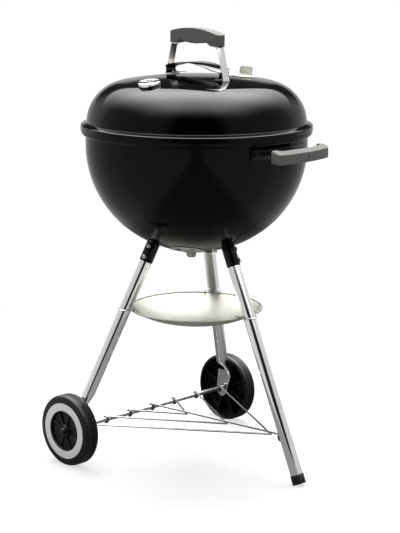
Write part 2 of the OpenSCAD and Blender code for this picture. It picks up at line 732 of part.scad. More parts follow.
// Centre of a corner of radius r between the arc of radius arc_r about the face's centre and the line y
function side_corner(arc_r, y) = [side_arc_x + sqrt(arc_r * arc_r - y * y), y];

// The outline's other half, without the two points on the X axis
function mirrored(p) = [for (i = [len(p) - 2:-1:1]) [p[i][0], -p[i][1]]];

// Plan of the handle: a bar with an arched face and two arms that reach back to the bracket
front_corner = side_corner(side_arc_r - side_front_r, side_half - side_front_r);
front_turn = atan2(front_corner[1], front_corner[0] - side_arc_x);
scoop_corner = side_corner(side_arc_r - side_bar - side_scoop_r, side_half - side_arm - side_scoop_r);
scoop_turn = atan2(scoop_corner[1], scoop_corner[0] - side_arc_x);
side_plan_half = concat(
  arc([side_arc_x, 0], side_arc_r, 0, front_turn, 8),
  arc(front_corner, side_front_r, front_turn + 10, 90, 6),
  arc([side_back_x + side_back_r, side_half - side_back_r], side_back_r, 90, 180, 5),
  [[side_back_x, side_half - side_arm]],
  arc(scoop_corner, side_scoop_r, 90, scoop_turn + 10, 4),
  arc([side_arc_x, 0], side_arc_r - side_bar, scoop_turn, 0, 6)
);

// Outline of the handle seen from the front, with round corners
side_front = concat(
  arc([side_foot_r - side_half, side_low_z + side_foot_r], side_foot_r, 180, 270, 6),
  arc([side_half - side_foot_r, side_low_z + side_foot_r], side_foot_r, 270, 360, 6),
  arc([side_half - side_crown_r, side_top_z - side_crown_r], side_crown_r, 0, 90, 5),
  arc([side_crown_r - side_half, side_top_z - side_crown_r], side_crown_r, 90, 180, 5)
);

// Section about the face's centre: its upper side slopes from the face up to a ridge over the bar's back
side_slope = side_ridge_h / side_bar;
function slope_at(r) = [r, side_low_z + side_face_h + (side_arc_r - r) * side_slope];
side_section = [
  [side_arc_r / 2, side_low_z - 1], [side_arc_r + 1, side_low_z - 1],
  slope_at(side_arc_r + 1), slope_at(side_arc_r / 2)
];

module side_handle() color(grip_grey) at_side() difference() {
  intersection() {
    linear_extrude(side_top_z + 1) polygon(concat(side_plan_half, mirrored(side_plan_half)));
    rotate([90, 0, 90]) linear_extrude(side_face_x + 1) polygon(side_front);
    translate([side_arc_x, 0, 0]) rotate_extrude($fn = 240) polygon(side_section);
  }
  translate([side_face_x - side_bar, 0, side_hole_z]) rotate([0, 90, 0])
    cylinder(h = 3 * side_bar, r = side_hole_r, center = true);
  for (side = [-1, 1]) {
    side_screw_place(side) translate([0, 0, -side_screw_len]) cylinder(h = side_screw_len, r = screw_r);
    side_screw_place(side) cylinder(h = 2 * side_sink, r = screw_head_r + seat_gap);
    side_tongue(side, slip);
  }
}
// A screw's place under an arm, with its head downward in a sunk seat
module side_screw_place(side) translate([side_screw_x, side * side_screw_y, side_low_z + side_sink])
  rotate([180, 0, 0]) children();

// A tongue of the bracket, which lies in a slot in the handle's arm, and play on every side of it
module side_tongue(side, play) {
  low = [
    bowl_r * cos(bracket_turn),
    side * side_screw_y - tongue_w / 2 - play,
    side_mid_z - bracket_t / 2 - play
  ];
  long = side_screw_x + tongue_out + play - low[0];
  translate(low) cube([long, tongue_w + 2 * play, bracket_t + 2 * play]);
}

module side_handle_bracket() color(black) at_side() {
  translate([0, 0, side_mid_z - bracket_h / 2]) difference() {
    cylinder(h = bracket_h, r = bracket_r, $fn = 180);
    translate([0, 0, -1]) cylinder(h = bracket_h + 2, r = bowl_r, $fn = 180);
    translate([-2 * bowl_r, -2 * bowl_r, -1])
      cube([2 * bowl_r + bracket_r * cos(bracket_turn), 4 * bowl_r, bracket_h + 2]);
  }
  for (side = [-1, 1]) difference() {
    side_tongue(side, 0);
    translate([0, 0, side_low_z]) cylinder(h = 2 * bracket_h, r = bowl_r + bracket_t / 2, $fn = 180);
    side_screw_place(side) translate([0, 0, -side_screw_len]) cylinder(h = side_screw_len, r = screw_r);
  }
}

module side_handle_screws() color(bright) at_side() for (side = [-1, 1])
  side_screw_place(side) screw(screw_r, side_screw_len, screw_head_r, screw_head_h);

// ---- Lid ----

function lid_side(inset) = concat(
    arc([0, lid_crown_z], lid_crown_r - inset, 90, lid_tangent, 6),
    arc(lid_knuckle, lid_knuckle_r - inset, lid_tangent, seam_turn, 16),
    arc([fillet_x, fillet_z], fillet_r + inset, 180, 270 - flange_slope, 5),
    arc([corner[0], corner_z], corner_r - inset, 90 - flange_slope, 0, 5),
    [[skirt_r - inset, skirt_low_z]]
  );

stem_hole_r = 4.2;
bolt_r = 3;
strap_bolt_edge = 7;
strap_bolt_x = strap_foot_x - strap_foot + strap_bolt_edge;

module lid() color(enamel) difference() {
  at_kettle() rotate_extrude($fn = 180) polygon(concat(lid_side(0), reversed(lid_side(lid_wall))));
  at_crown(lid_damper_turn, lid_damper_at) {
    air_holes();
    drill(rivet_r);
  }
  at_crown(gauge_turn, gauge_at) drill(stem_hole_r);
  for (turn = [0, 180]) at_crown(lid_turn + turn, strap_bolt_x) drill(bolt_r);
}

module lid_damper() color(satin) at_crown(lid_damper_turn, lid_damper_at) union() {
  damper(lid_damper_r, lid_crown_r);
  rotate([0, 0, lid_tab_turn]) damper_tab(lid_damper_r, lid_crown_r, lid_tab_w, lid_tab_h);
}
module lid_damper_rivet() color(bright) at_crown(lid_damper_turn, lid_damper_at)
  damper_rivet(lid_crown_r, lid_wall);

// ---- Lid handle ----

grip_low_z = grip_top_z - grip_rise - grip_end_h;
boss_x = 58;
notch_x = 43;
notch_z = grip_low_z + 7.5;
belly_z = grip_low_z + 2.5;
grip_arc_r = (pow(grip_len / 2, 2) + grip_rise * grip_rise) / (2 * grip_rise);
grip_arc_turn = asin(grip_len / 2 / grip_arc_r);
belly_rise = notch_z - belly_z;
belly_r = (notch_x * notch_x + belly_rise * belly_rise) / (2 * belly_rise);
belly_turn = asin(notch_x / belly_r);

// Side view of the grip: an arched top, a foot at each end and a belly between them
module grip_side() polygon(concat(
    [[-grip_len / 2, grip_low_z]],
    arc([0, grip_top_z - grip_arc_r], grip_arc_r, 90 + grip_arc_turn, 90 - grip_arc_turn, 24),
    [[grip_len / 2, grip_low_z], [boss_x, grip_low_z]],
    arc([0, belly_z + belly_r], belly_r, belly_turn - 90, -belly_turn - 90, 16),
    [[-boss_x, grip_low_z]]
  ));

// Plan of the grip, with round ends
module grip_plan() {
  end_r = grip_w * 0.4;
  square([grip_len - 2 * end_r, grip_w], center = true);
  square([grip_len, grip_w - 2 * end_r], center = true);
  for (x = [-1, 1]) for (y = [-1, 1])
    translate([x * (grip_len / 2 - end_r), y * (grip_w / 2 - end_r)]) circle(end_r);
}

grip_screw_x = strap_top_x - 7;
grip_screw_len = 12;
module grip_screw_place(side) at_handle()
  translate([side * grip_screw_x, 0, grip_low_z - strap_t]) rotate([180, 0, 0]) children();

module lid_grip() color(grip_grey) difference() {
  at_handle() intersection() {
    upright(grip_w + 2) grip_side();
    translate([0, 0, grip_low_z]) linear_extrude(grip_top_z - grip_low_z) grip_plan();
  }
  for (side = [-1, 1]) grip_screw_place(side) translate([0, 0, -grip_screw_len - strap_t])
    cylinder(h = grip_screw_len + strap_t, r = screw_r);
}
module grip_screws() color(bright) for (side = [-1, 1])
  grip_screw_place(side) screw(screw_r, grip_screw_len + strap_t, screw_head_r, screw_head_h);

// A strap: a tongue under the grip, a splayed upright and a foot on the lid
strap_path = [
  [grip_screw_x - 7, grip_low_z - strap_t / 2],
  [strap_top_x, grip_low_z - strap_t / 2],
  crown_at(strap_foot_x, slip + strap_t / 2),
  crown_at(strap_foot_x - strap_foot, slip + strap_t / 2)
];
module handle_strap(side) color(bright) difference() {
  at_handle() rotate([0, 0, 90 - 90 * side]) upright(strap_w) polygon(sheet(strap_path, strap_t));
  grip_screw_place(side) drill(screw_r);
  at_crown(lid_turn + 90 - 90 * side, strap_bolt_x) drill(bolt_r);
}
module right_handle_strap() handle_strap(1);
module left_handle_strap() handle_strap(-1);

// The heat shield: an arch under the grip. Its tapered ends curl in to feet on the straps' feet
shield_bend_r = 7;
shield_bend_x = strap_foot_x - shield_inset;
shield_foot_h = slip + strap_t + slip + shield_t / 2;
shield_bend = crown_at(shield_bend_x, shield_foot_h + shield_bend_r);
shield_sink = shield_top_z - shield_bend[1];
shield_arc_r = (pow(shield_bend[0], 2) + pow(shield_sink, 2) - pow(shield_bend_r, 2))
  / (2 * (shield_sink - shield_bend_r));
shield_turn = asin(shield_bend[0] / (shield_arc_r - shield_bend_r));
shield_half = concat(
  [crown_at(strap_foot_x - strap_foot, shield_foot_h)],
  arc(shield_bend, shield_bend_r, -90 - asin(shield_bend_x / lid_crown_r), 90 - shield_turn, 8),
  arc([0, shield_top_z - shield_arc_r], shield_arc_r, 90 - shield_turn * 0.9, 90, 9)
);
shield_path = concat(shield_half,
  [for (i = [len(shield_half) - 2:-1:0]) [-shield_half[i][0], shield_half[i][1]]]);
shield_end_x = shield_bend[0] + shield_bend_r + shield_t;
shield_taper = 16;
shield_lip = 3;

// Plan of the shield, tapered at its ends to a little more than the straps' width
module shield_plan() {
  taper_x = shield_end_x - shield_taper;
  end_y = strap_w / 2 + shield_lip;
  polygon([
    [-shield_end_x, -end_y], [-taper_x, -shield_w / 2], [taper_x, -shield_w / 2], [shield_end_x, -end_y],
    [shield_end_x, end_y], [taper_x, shield_w / 2], [-taper_x, shield_w / 2], [-shield_end_x, end_y]
  ]);
}
module heat_shield() color(bright) difference() {
  at_handle() intersection() {
    upright(shield_w) polygon(sheet(shield_path, shield_t));
    linear_extrude(grip_low_z) shield_plan();
  }
  for (turn = [0, 180]) at_crown(lid_turn + turn, strap_bolt_x) drill(bolt_r);
}

strap_nut_h = 5;
strap_nut_r = 5.8;
strap_head_h = 4;
strap_bolt_len = shield_t + strap_t + lid_wall + 7;
module strap_bolts() color(bright) for (turn = [0, 180]) at_crown(lid_turn + turn, strap_bolt_x)
  translate([0, 0, 2 * slip + shield_t + strap_t]) screw(bolt_r, strap_bolt_len, strap_nut_r, strap_head_h);
module strap_nuts() color(bright) for (turn = [0, 180]) at_crown(lid_turn + turn, strap_bolt_x)
  translate([0, 0, -lid_wall - strap_nut_h - 1.2 * slip]) difference() {
    cylinder(h = strap_nut_h, r = strap_nut_r, $fn = 6);
    drill(bolt_r);
  }

// ---- Thermometer ----

dial_t = 1;
collar_r = stem_hole_r - 0.2;
collar_len = 8;
gauge_nut_h = 4;
lens_t = 1.5;
bezel_lip = 3;
bezel_floor = 2;
module at_gauge() at_crown(gauge_turn, gauge_at) children();

module thermometer_bezel() color(bright) at_gauge() difference() {
  union() {
    cylinder(h = gauge_h - 2, r = gauge_r);
    translate([0, 0, gauge_h - 2]) cylinder(h = 2, r1 = gauge_r, r2 = gauge_r - 1.5);
  }
  translate([0, 0, bezel_floor]) cylinder(h = gauge_h, r = gauge_r - bezel_lip);
  drill(probe_r);
}
module thermometer_dial() color([0.9, 0.9, 0.88]) at_gauge() translate([0, 0, bezel_floor]) difference() {
  cylinder(h = dial_t, r = gauge_r - bezel_lip);
  drill(probe_r);
}
module thermometer_lens() color([0.8, 0.9, 1, 0.3]) at_gauge()
  translate([0, 0, gauge_h - lens_t - 0.5]) cylinder(h = lens_t, r = gauge_r - bezel_lip);

needle_z = bezel_floor + dial_t + 0.6;
pivot_r = 1;
needle_tail = 6;
needle_tip = gauge_r - bezel_lip - 3;
module thermometer_needle() color([0.7, 0.05, 0.03]) at_gauge() translate([0, 0, needle_z]) difference() {
  union() {
    cylinder(h = 0.8, r = 2.4);
    rotate([0, 0, needle_turn]) linear_extrude(0.6)
      polygon([[-needle_tail, -1], [-needle_tail, 1], [needle_tip, 0.3], [needle_tip, -0.3]]);
  }
  drill(pivot_r + axle_play);
}
// The stem: a threaded collar under the bezel, the probe and the needle's pivot
module thermometer_stem() color(bright) at_gauge() {
  translate([0, 0, -probe_len]) cylinder(h = probe_len + bezel_floor + dial_t + 0.3, r = probe_r);
  translate([0, 0, bezel_floor + dial_t]) cylinder(h = 2, r = pivot_r);
  translate([0, 0, -collar_len]) cylinder(h = collar_len, r = collar_r);
}
module thermometer_nut() color(bright) at_gauge() translate([0, 0, -lid_wall - gauge_nut_h - seat_gap])
  difference() {
    cylinder(h = gauge_nut_h, r = 2 * collar_r, $fn = 6);
    drill(collar_r);
  }

// ---- Grates ----

// Number of wires on each side of the middle one
function wires_a_side(ring_r, r, pitch) = floor((ring_r - 2 * r) / pitch);

// Parallel wires across a ring, their undersides on its top
module grate_wires(ring_r, z, r, pitch) {
  n = wires_a_side(ring_r, r, pitch);
  for (i = [-n:n]) {
    half = sqrt(pow(ring_r, 2) - pow(i * pitch, 2));
    wire([-half, i * pitch, z], [half, i * pitch, z], r);
  }
}

cooking_ring_r = cooking_r - cooking_wire_r;
cooking_bar_x = cooking_r * 0.42;
module cooking_grate_frame() color(bright) at_kettle() {
  translate([0, 0, cooking_z]) wire_ring(cooking_ring_r, cooking_wire_r);
  for (x = [-cooking_bar_x, cooking_bar_x]) {
    half = sqrt(pow(cooking_ring_r, 2) - x * x);
    wire([x, -half, cooking_z], [x, half, cooking_z], cooking_wire_r);
  }
}
module cooking_grate_wires() color(bright) at_kettle()
  grate_wires(cooking_ring_r, cooking_z + 2 * cooking_wire_r, cooking_wire_r, cooking_pitch);

// Two wire loops that stand on the last wires but one, to lift the grate by
loop_half = 38;
loop_rise = 20;
loop_bend_r = 8;
loop_y = (wires_a_side(cooking_ring_r, cooking_wire_r, cooking_pitch) - 1) * cooking_pitch;
module cooking_grate_handles() color(bright) at_kettle() for (side = [-1, 1])
  translate([0, side * loop_y, cooking_z + 3 * cooking_wire_r])
    wire_arch(loop_half, loop_rise, loop_bend_r, cooking_wire_r);

charcoal_ring_r = charcoal_r - charcoal_wire_r;
module charcoal_grate_frame() color([0.5, 0.5, 0.5]) at_kettle() {
  translate([0, 0, charcoal_z]) wire_ring(charcoal_ring_r, charcoal_wire_r);
  wire([0, -charcoal_ring_r, charcoal_z], [0, charcoal_ring_r, charcoal_z], charcoal_wire_r);
}
module charcoal_grate_wires() color([0.5, 0.5, 0.5]) at_kettle()
  grate_wires(charcoal_ring_r, charcoal_z + 2 * charcoal_wire_r, charcoal_wire_r, charcoal_pitch);

bowl();
cooking_grate_tabs();
charcoal_grate_tabs();
foot_leg_socket();
left_leg_socket();
right_leg_socket();
foot_leg();
left_wheel_leg();
right_wheel_leg();
leg_screws();
foot_cap();
axle();
axle_caps();
rack_outer_wire();
rack_middle_wire();
rack_inner_wire();
rack_spine_wire();
rack_screw();
ash_pan();
foot_pan_clip();
left_pan_clip();
right_pan_clip();
side_handle_bracket();
side_handle();
side_handle_screws();
front_damper();
back_damper();
wheel_side_damper();
bowl_damper_rivets();
lid();
lid_damper();
lid_damper_rivet();
right_handle_strap();
left_handle_strap();
lid_grip();
heat_shield();
grip_screws();
strap_bolts();
strap_nuts();
thermometer_bezel();
thermometer_dial();
thermometer_lens();
thermometer_needle();
thermometer_stem();
thermometer_nut();
cooking_grate_frame();
cooking_grate_wires();
cooking_grate_handles();
charcoal_grate_frame();
charcoal_grate_wires();
left_wheel();
left_wheel_band();
right_wheel();
right_wheel_band();
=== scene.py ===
import json
import math

import bmesh
import bpy
from bpy.props import FloatProperty, FloatVectorProperty, IntProperty, PointerProperty
from mathutils import Matrix, Vector


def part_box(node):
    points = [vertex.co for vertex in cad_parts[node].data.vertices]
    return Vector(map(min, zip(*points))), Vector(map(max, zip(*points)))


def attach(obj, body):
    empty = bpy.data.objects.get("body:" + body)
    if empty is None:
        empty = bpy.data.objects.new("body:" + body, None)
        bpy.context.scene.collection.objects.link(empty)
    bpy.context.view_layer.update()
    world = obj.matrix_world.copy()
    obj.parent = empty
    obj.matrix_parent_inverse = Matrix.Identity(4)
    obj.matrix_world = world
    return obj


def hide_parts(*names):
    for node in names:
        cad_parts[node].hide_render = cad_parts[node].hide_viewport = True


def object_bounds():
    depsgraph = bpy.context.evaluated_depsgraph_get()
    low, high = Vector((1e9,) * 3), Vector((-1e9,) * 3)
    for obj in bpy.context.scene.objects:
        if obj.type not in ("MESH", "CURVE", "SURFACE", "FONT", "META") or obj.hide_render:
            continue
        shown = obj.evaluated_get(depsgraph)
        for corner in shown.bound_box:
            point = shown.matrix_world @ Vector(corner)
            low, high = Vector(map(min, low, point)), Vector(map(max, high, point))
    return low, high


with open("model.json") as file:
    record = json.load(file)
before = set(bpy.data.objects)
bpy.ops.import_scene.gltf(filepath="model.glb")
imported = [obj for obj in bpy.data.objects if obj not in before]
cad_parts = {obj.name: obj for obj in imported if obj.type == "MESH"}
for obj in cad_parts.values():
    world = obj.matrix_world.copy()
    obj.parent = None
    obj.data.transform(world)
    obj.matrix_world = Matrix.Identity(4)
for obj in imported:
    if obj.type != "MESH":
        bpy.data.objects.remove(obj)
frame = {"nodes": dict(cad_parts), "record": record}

bl_info = {
    "name": "Kettle Charcoal Grill",
    "version": (1, 0, 0),
    "blender": (4, 5, 0),
    "location": "View3D > Sidebar > Grill",
    "description": "Dresses the frame of a kettle charcoal grill with its finished surfaces",
    "category": "Object",
}

MM = 0.001
CAD_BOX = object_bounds()
LID_LOW, LID_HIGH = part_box("lid")
BOWL_LOW, BOWL_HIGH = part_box("bowl")
AXLE_LOW, AXLE_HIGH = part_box("axle")
AXIS_X = (LID_LOW.x + LID_HIGH.x) / 2
AXLE_X = (AXLE_LOW.x + AXLE_HIGH.x) / 2
AXLE_Z = (AXLE_LOW.z + AXLE_HIGH.z) / 2
SLOT_OF = {p["node"]: p["material_slot"] for p in frame["record"]["subparts"]}
BODY_OF = {n: body for body, names in frame["record"]["behaviour"]["bodies"].items() for n in names}
PIVOT = {j["name"]: (Vector(j["pos_m"]), Vector(j["axis"]).normalized())
         for j in frame["record"]["behaviour"]["joints"] if "pos_m" in j}

# Degrees round the kettle from one leg to the next
LEG_STEP = 120
# Radii of the holes that the fasteners, the gauge and the axle pass through
RIVET_HOLE = 2.5 * MM
BOLT_HOLE = 3 * MM
GAUGE_HOLE = 4.2 * MM
AXLE_HOLE = 4.75 * MM
# Length of a bar that cuts a hole, well past both faces of the sheet
CUT = 20 * MM


# ---- sizes and colours that a user can change ----


def size(name, description, value, low=0.0, high=10.0):
    return FloatProperty(name=name, description=description, default=value * MM,
                         min=low, max=high, unit="LENGTH", subtype="DISTANCE", precision=5)


def angle(name, description, value):
    return FloatProperty(name=name, description=description, default=math.radians(value),
                         subtype="ANGLE", unit="ROTATION")


def number(name, description, value, low, high):
    return FloatProperty(name=name, description=description, default=value, min=low, max=high)


def count(name, description, value, low, high):
    return IntProperty(name=name, description=description, default=value, min=low, max=high)


def colour(name, description, value):
    return FloatVectorProperty(name=name, description=description, default=value,
                               size=3, min=0.0, max=1.0, subtype="COLOR")


class GrillShells(bpy.types.PropertyGroup):
    wall: size("Wall", "Thickness of the lid's and bowl's steel", 1.0)
    lid_radius: size("Lid radius", "Outer radius of the lid's wall", 230.5)
    lid_shoulder: size("Lid shoulder", "Radius of the curve between the lid's wall and crown", 87)
    lid_crown: size("Lid crown", "Radius of the lid's gently domed crown", 950)
    lid_corner: size("Lid corner", "Radius of the curve over the lid's skirt", 4)
    lid_fillet: size("Lid fillet", "Radius of the hollow over the lid's flange", 2)
    lid_skirt: size("Lid skirt", "Depth of the straight skirt under the lid's flange", 9.5)
    bowl_radius: size("Bowl radius", "Outer radius of the bowl's wall", 233)
    bowl_shoulder: size("Bowl shoulder", "Radius of the curve between the bowl's wall and base", 223.5)
    bowl_base: size("Bowl base", "Radius of the bowl's round base", 239)
    rim_roll: size("Rim roll", "Outer radius of the roll round the bowl's rim", 4.9)
    rim_drop: size("Rim drop", "Length of the straight part under the rim's roll", 11.5)
    turns: count("Turns", "Faces round the lid and the bowl", 180, 48, 360)
    air_hole: size("Air hole", "Radius of the air holes under the dampers", 7.2)
    air_hole_at: size("Air hole offset", "Distance of the air holes from a damper's rivet", 21)


class GrillLegs(bpy.types.PropertyGroup):
    tube: size("Tube", "Outer radius of the legs' tubes", 12.7)
    foot: size("Foot distance", "Distance from the kettle's middle to a leg's line at the floor", 303)
    tilt: angle("Tilt", "Angle between a leg and the vertical", 24)
    blade: size("Blade", "Half width of a wheel leg's flattened end", 19.5)
    blade_wall: size("Blade thickness", "Thickness of the flattened end", 2.6)
    blade_end: number("Blade taper", "Width of the blade at the axle, as a share of its widest", 0.8, 0.5, 1)
    neck_top: size("Neck top", "Height at which a wheel leg begins to flatten", 150)
    neck_low: size("Neck foot", "Height at which a wheel leg is flat", 106)
    neck_shift: size("Neck shift", "How far forward the tube meets the flat end", 7)


class GrillPan(bpy.types.PropertyGroup):
    wall: size("Pan wall", "Thickness of the ash pan's sheet", 1.0)
    flat: size("Pan middle", "Radius of the pan's flat middle", 42)
    bead: size("Pan bead", "Radius of the bead round the pan", 2.0)
    press: size("Pressed ring", "Height of the rings pressed into the pan", 0.9)
    press_wide: size("Ring width", "Width of a pressed ring", 5)


class GrillWheels(bpy.types.PropertyGroup):
    radius: size("Radius", "Outer radius of a wheel", 76.2)
    width: size("Width", "Width of a wheel's tread", 32)
    hub: size("Hub", "Radius of the hub", 13)
    bore: size("Bore", "Radius of the hub's bore", 4.83)
    hub_in: size("Hub length inside", "How far the hub stands out of the wheel's inner face", 3.6)
    tread_wall: size("Tread wall", "Thickness of the tread", 7)
    recess: size("Recess", "Depth of the web behind the band", 6)
    web: size("Web", "Thickness of the web", 3)
    lip: size("Lip", "Width of the lip inside the band", 2)
    groove: size("Groove", "Depth of the grooves in the tread", 1.1)
    groove_wide: size("Groove width", "Width of a groove", 1.6)
    grooves: count("Grooves", "Number of grooves round the tread", 4, 1, 8)
    spokes: count("Spokes", "Number of ribs from hub to tread", 8, 3, 16)
    rib: size("Rib", "Thickness of a rib", 2.5)


class GrillWires(bpy.types.PropertyGroup):
    cooking_wire: size("Cooking wire", "Radius of the cooking grate's wires", 2.0)
    cooking_pitch: size("Cooking pitch", "Distance between the cooking grate's wires", 17)
    charcoal_wire: size("Charcoal wire", "Radius of the charcoal grate's wires", 3.0)
    charcoal_pitch: size("Charcoal pitch", "Distance between the charcoal grate's wires", 28)


class GrillDial(bpy.types.PropertyGroup):
    ticks: count("Ticks", "Number of marks on the dial", 19, 3, 60)
    sweep: angle("Sweep", "Angle between the first and the last mark", 270)
    tick_at: size("Tick distance", "Distance of the marks' outer ends from the pivot", 18.2)
    tick_long: size("Tick length", "Length of a mark", 2.8)
    tick_wide: size("Tick width", "Width of a mark", 0.55)


class GrillColours(bpy.types.PropertyGroup):
    enamel: colour("Enamel", "Porcelain enamel on the lid and the bowl", (0.0012, 0.0012, 0.0012))
    plated: colour("Plated steel", "Bright legs, straps and bezel", (0.88, 0.88, 0.88))
    zinc: colour("Zinc", "Axle, screws and clips", (0.42, 0.42, 0.41))
    wire: colour("Grate wire", "Plated wires of the cooking grate and the rack", (0.17, 0.17, 0.165))
    dark_wire: colour("Charcoal grate wire", "Bare steel wires", (0.30, 0.29, 0.28))
    sheet: colour("Aluminium", "Ash pan and the lid's damper", (0.37, 0.365, 0.32))
    nylon: colour("Nylon", "Both handles", (0.14, 0.14, 0.132))
    black: colour("Black plastic", "Wheels, axle caps and foot cap", (0.004, 0.004, 0.004))
    socket: colour("Socket", "Leg sockets and the side bracket", (0.002, 0.002, 0.002))
    band: colour("Band", "Pale band round each wheel", (0.90, 0.90, 0.88))
    dial: colour("Dial", "Face of the thermometer", (0.75, 0.75, 0.72))
    needle: colour("Needle", "Thermometer's needle", (0.45, 0.02, 0.015))
    damper: colour("Bowl dampers", "Dull dark steel under the bowl", (0.34, 0.34, 0.33))
    shield: colour("Shield", "Dark mirror gloss of the heat shield", (0.05, 0.048, 0.044))
    ink: colour("Ink", "Marks on the dial", (0.02, 0.02, 0.02))


class GrillStage(bpy.types.PropertyGroup):
    azimuth: angle("Azimuth", "Direction of the camera, seen from above", 44.715)
    pitch: angle("Pitch", "How far the camera looks down", 11.80)
    yaw: angle("Yaw", "How far the camera looks to the side of the kettle's middle", -0.127)
    roll: angle("Roll", "Tilt of the camera about its own axis", 0.24)
    distance: size("Distance", "Distance of the camera from the kettle's middle", 3628.3, 0.5)
    height: size("Height", "Height of the camera above the floor", 1173.4)
    canopy: number("Canopy", "Brightness of the panel overhead, as reflections show it", 21.0, 0, 50)
    fill: number("Fill", "Brightness of the even light from all sides", 0.50, 0, 5)
    power: number("Lamp", "Power of the lamp overhead, in watts", 90, 0, 2000)
    floor_lift: number("Floor lift", "How far the floor is lifted towards white", 0.62, 0, 1)
    lens: number("Lens", "Focal length of the camera, in millimetres on a 36 mm frame", 117.51, 20, 300)


# ---- node trees and finishes ----


# The finishes by name, as the first operator makes them
FINISH = {}


class Tree:
    """A short way to write nodes: each call makes one and links or sets the inputs that it is given."""

    def __init__(self, node_tree):
        self.nodes, self.links = node_tree.nodes, node_tree.links

    def add(self, kind, settings=(), **inputs):
        """Makes a node. An input goes by its name, or by i and its number."""
        node = self.nodes.new(kind)
        for key, value in dict(settings).items():
            setattr(node, key, value)
        for key, value in inputs.items():
            by_number = key[0] == "i" and key[1:].isdigit()
            socket = node.inputs[int(key[1:]) if by_number else key.replace("_", " ")]
            if isinstance(value, bpy.types.NodeSocket):
                self.links.new(value, socket)
            else:
                socket.default_value = value
        return node

    def math(self, operation, *values):
        inputs = {f"i{k}": value for k, value in enumerate(values)}
        return self.add("ShaderNodeMath", {"operation": operation}, **inputs).outputs[0]

    def vector(self, operation, *values):
        inputs = {f"i{k}": value for k, value in enumerate(values)}
        node = self.add("ShaderNodeVectorMath", {"operation": operation}, **inputs)
        return node.outputs["Value" if operation in ("LENGTH", "DOT_PRODUCT") else "Vector"]

    def noise(self, scale, detail, where):
        return self.add("ShaderNodeTexNoise", Vector=where, Scale=float(scale), Detail=detail).outputs["Fac"]

    def ease(self, value, low, high, start, end):
        """Goes smoothly from start to end while the value goes from low to high."""
        return self.add("ShaderNodeMapRange", {"interpolation_type": "SMOOTHSTEP"}, Value=value,
                        i1=low, i2=high, i3=start, i4=end).outputs[0]

    def ramp(self, fac, stops):
        """Goes through (place, tone or colour) stops."""
        node = self.add("ShaderNodeValToRGB", i0=fac)
        ramp = node.color_ramp
        while len(ramp.elements) < len(stops):
            ramp.elements.new(0.5)
        for element, (at, value) in zip(ramp.elements, stops):
            element.position = at
            element.color = (*value, 1) if hasattr(value, "__len__") else (value, value, value, 1)
        return node.outputs["Color"]

    def white(self, kind, strength):
        return self.add("ShaderNode" + kind, Color=(1, 1, 1, 1), Strength=strength).outputs[0]

    def mix(self, share, first, second):
        return self.add("ShaderNodeMixShader", i0=share, i1=first, i2=second).outputs[0]


def new_material(name):
    """A material with an empty node tree, and the short way to write it."""
    mat = bpy.data.materials.new(name)
    mat.use_nodes = True
    mat.node_tree.nodes.clear()
    return mat, Tree(mat.node_tree)


def principled(tree, base, metallic, **inputs):
    shader = tree.add("ShaderNodeBsdfPrincipled", Base_Color=base, Metallic=metallic, **inputs)
    tree.add("ShaderNodeOutputMaterial", Surface=shader.outputs["BSDF"])


def worn(tree, rgb, metallic, rough, tone, broad, fine, relief, **more):
    """Ends a finish: two noises move its tone and its roughness, and the fine one makes its relief."""
    mixed = tree.math("MULTIPLY_ADD", fine, 0.6, broad)
    low = tuple(c * (1 - tone) for c in rgb)
    high = tuple(min(1.0, c * (1 + tone)) for c in rgb)
    base = tree.ramp(mixed, [(0.55, low), (1.0, high)])
    roughness = tree.add("ShaderNodeMapRange", Value=mixed, i1=0.5, i2=1.1, i3=rough[0], i4=rough[1])
    strength, depth = relief
    bump = tree.add("ShaderNodeBump", Strength=strength, Distance=depth, Height=fine)
    principled(tree, base, metallic, Roughness=roughness.outputs[0], Normal=bump.outputs["Normal"], **more)


def grain_finish(name, rgb, rough, metallic=0.0, grain=400, bump=0.02, tone=0.06, stretch=(1, 1, 1),
                 **more):
    """A finish whose tone and roughness drift a little, with a fine grain in its relief."""
    mat, tree = new_material(name)
    where = tree.add("ShaderNodeTexCoord").outputs["Object"]
    placed = tree.add("ShaderNodeMapping", Vector=where, Scale=stretch).outputs["Vector"]
    broad = tree.noise(9, 3.0, where)
    fine = tree.noise(grain, 4.0, placed)
    worn(tree, rgb, metallic, (rough * 0.75, rough * 1.25), tone, broad, fine, (bump, 1 * MM), **more)
    FINISH[name] = mat


def brushed_finish(name, rgb, rough, axis, metallic, rings=900, tone=0.05):
    """Sheet metal with fine turned rings about an upright axis through a point."""
    mat, tree = new_material(name)
    where = tree.add("ShaderNodeTexCoord").outputs["Object"]
    centred = tree.add("ShaderNodeMapping", Vector=where, Location=[-c for c in axis], Scale=(1, 1, 0))
    away = tree.vector("LENGTH", centred.outputs["Vector"])
    broad = tree.noise(14, 3.0, where)
    ring = tree.add("ShaderNodeTexNoise", {"noise_dimensions": "1D"}, W=away, Scale=float(rings), Detail=3.0)
    worn(tree, rgb, metallic, (rough * 0.8, rough * 1.25), tone, broad, ring.outputs["Fac"], (0.05, 0.4 * MM))
    FINISH[name] = mat


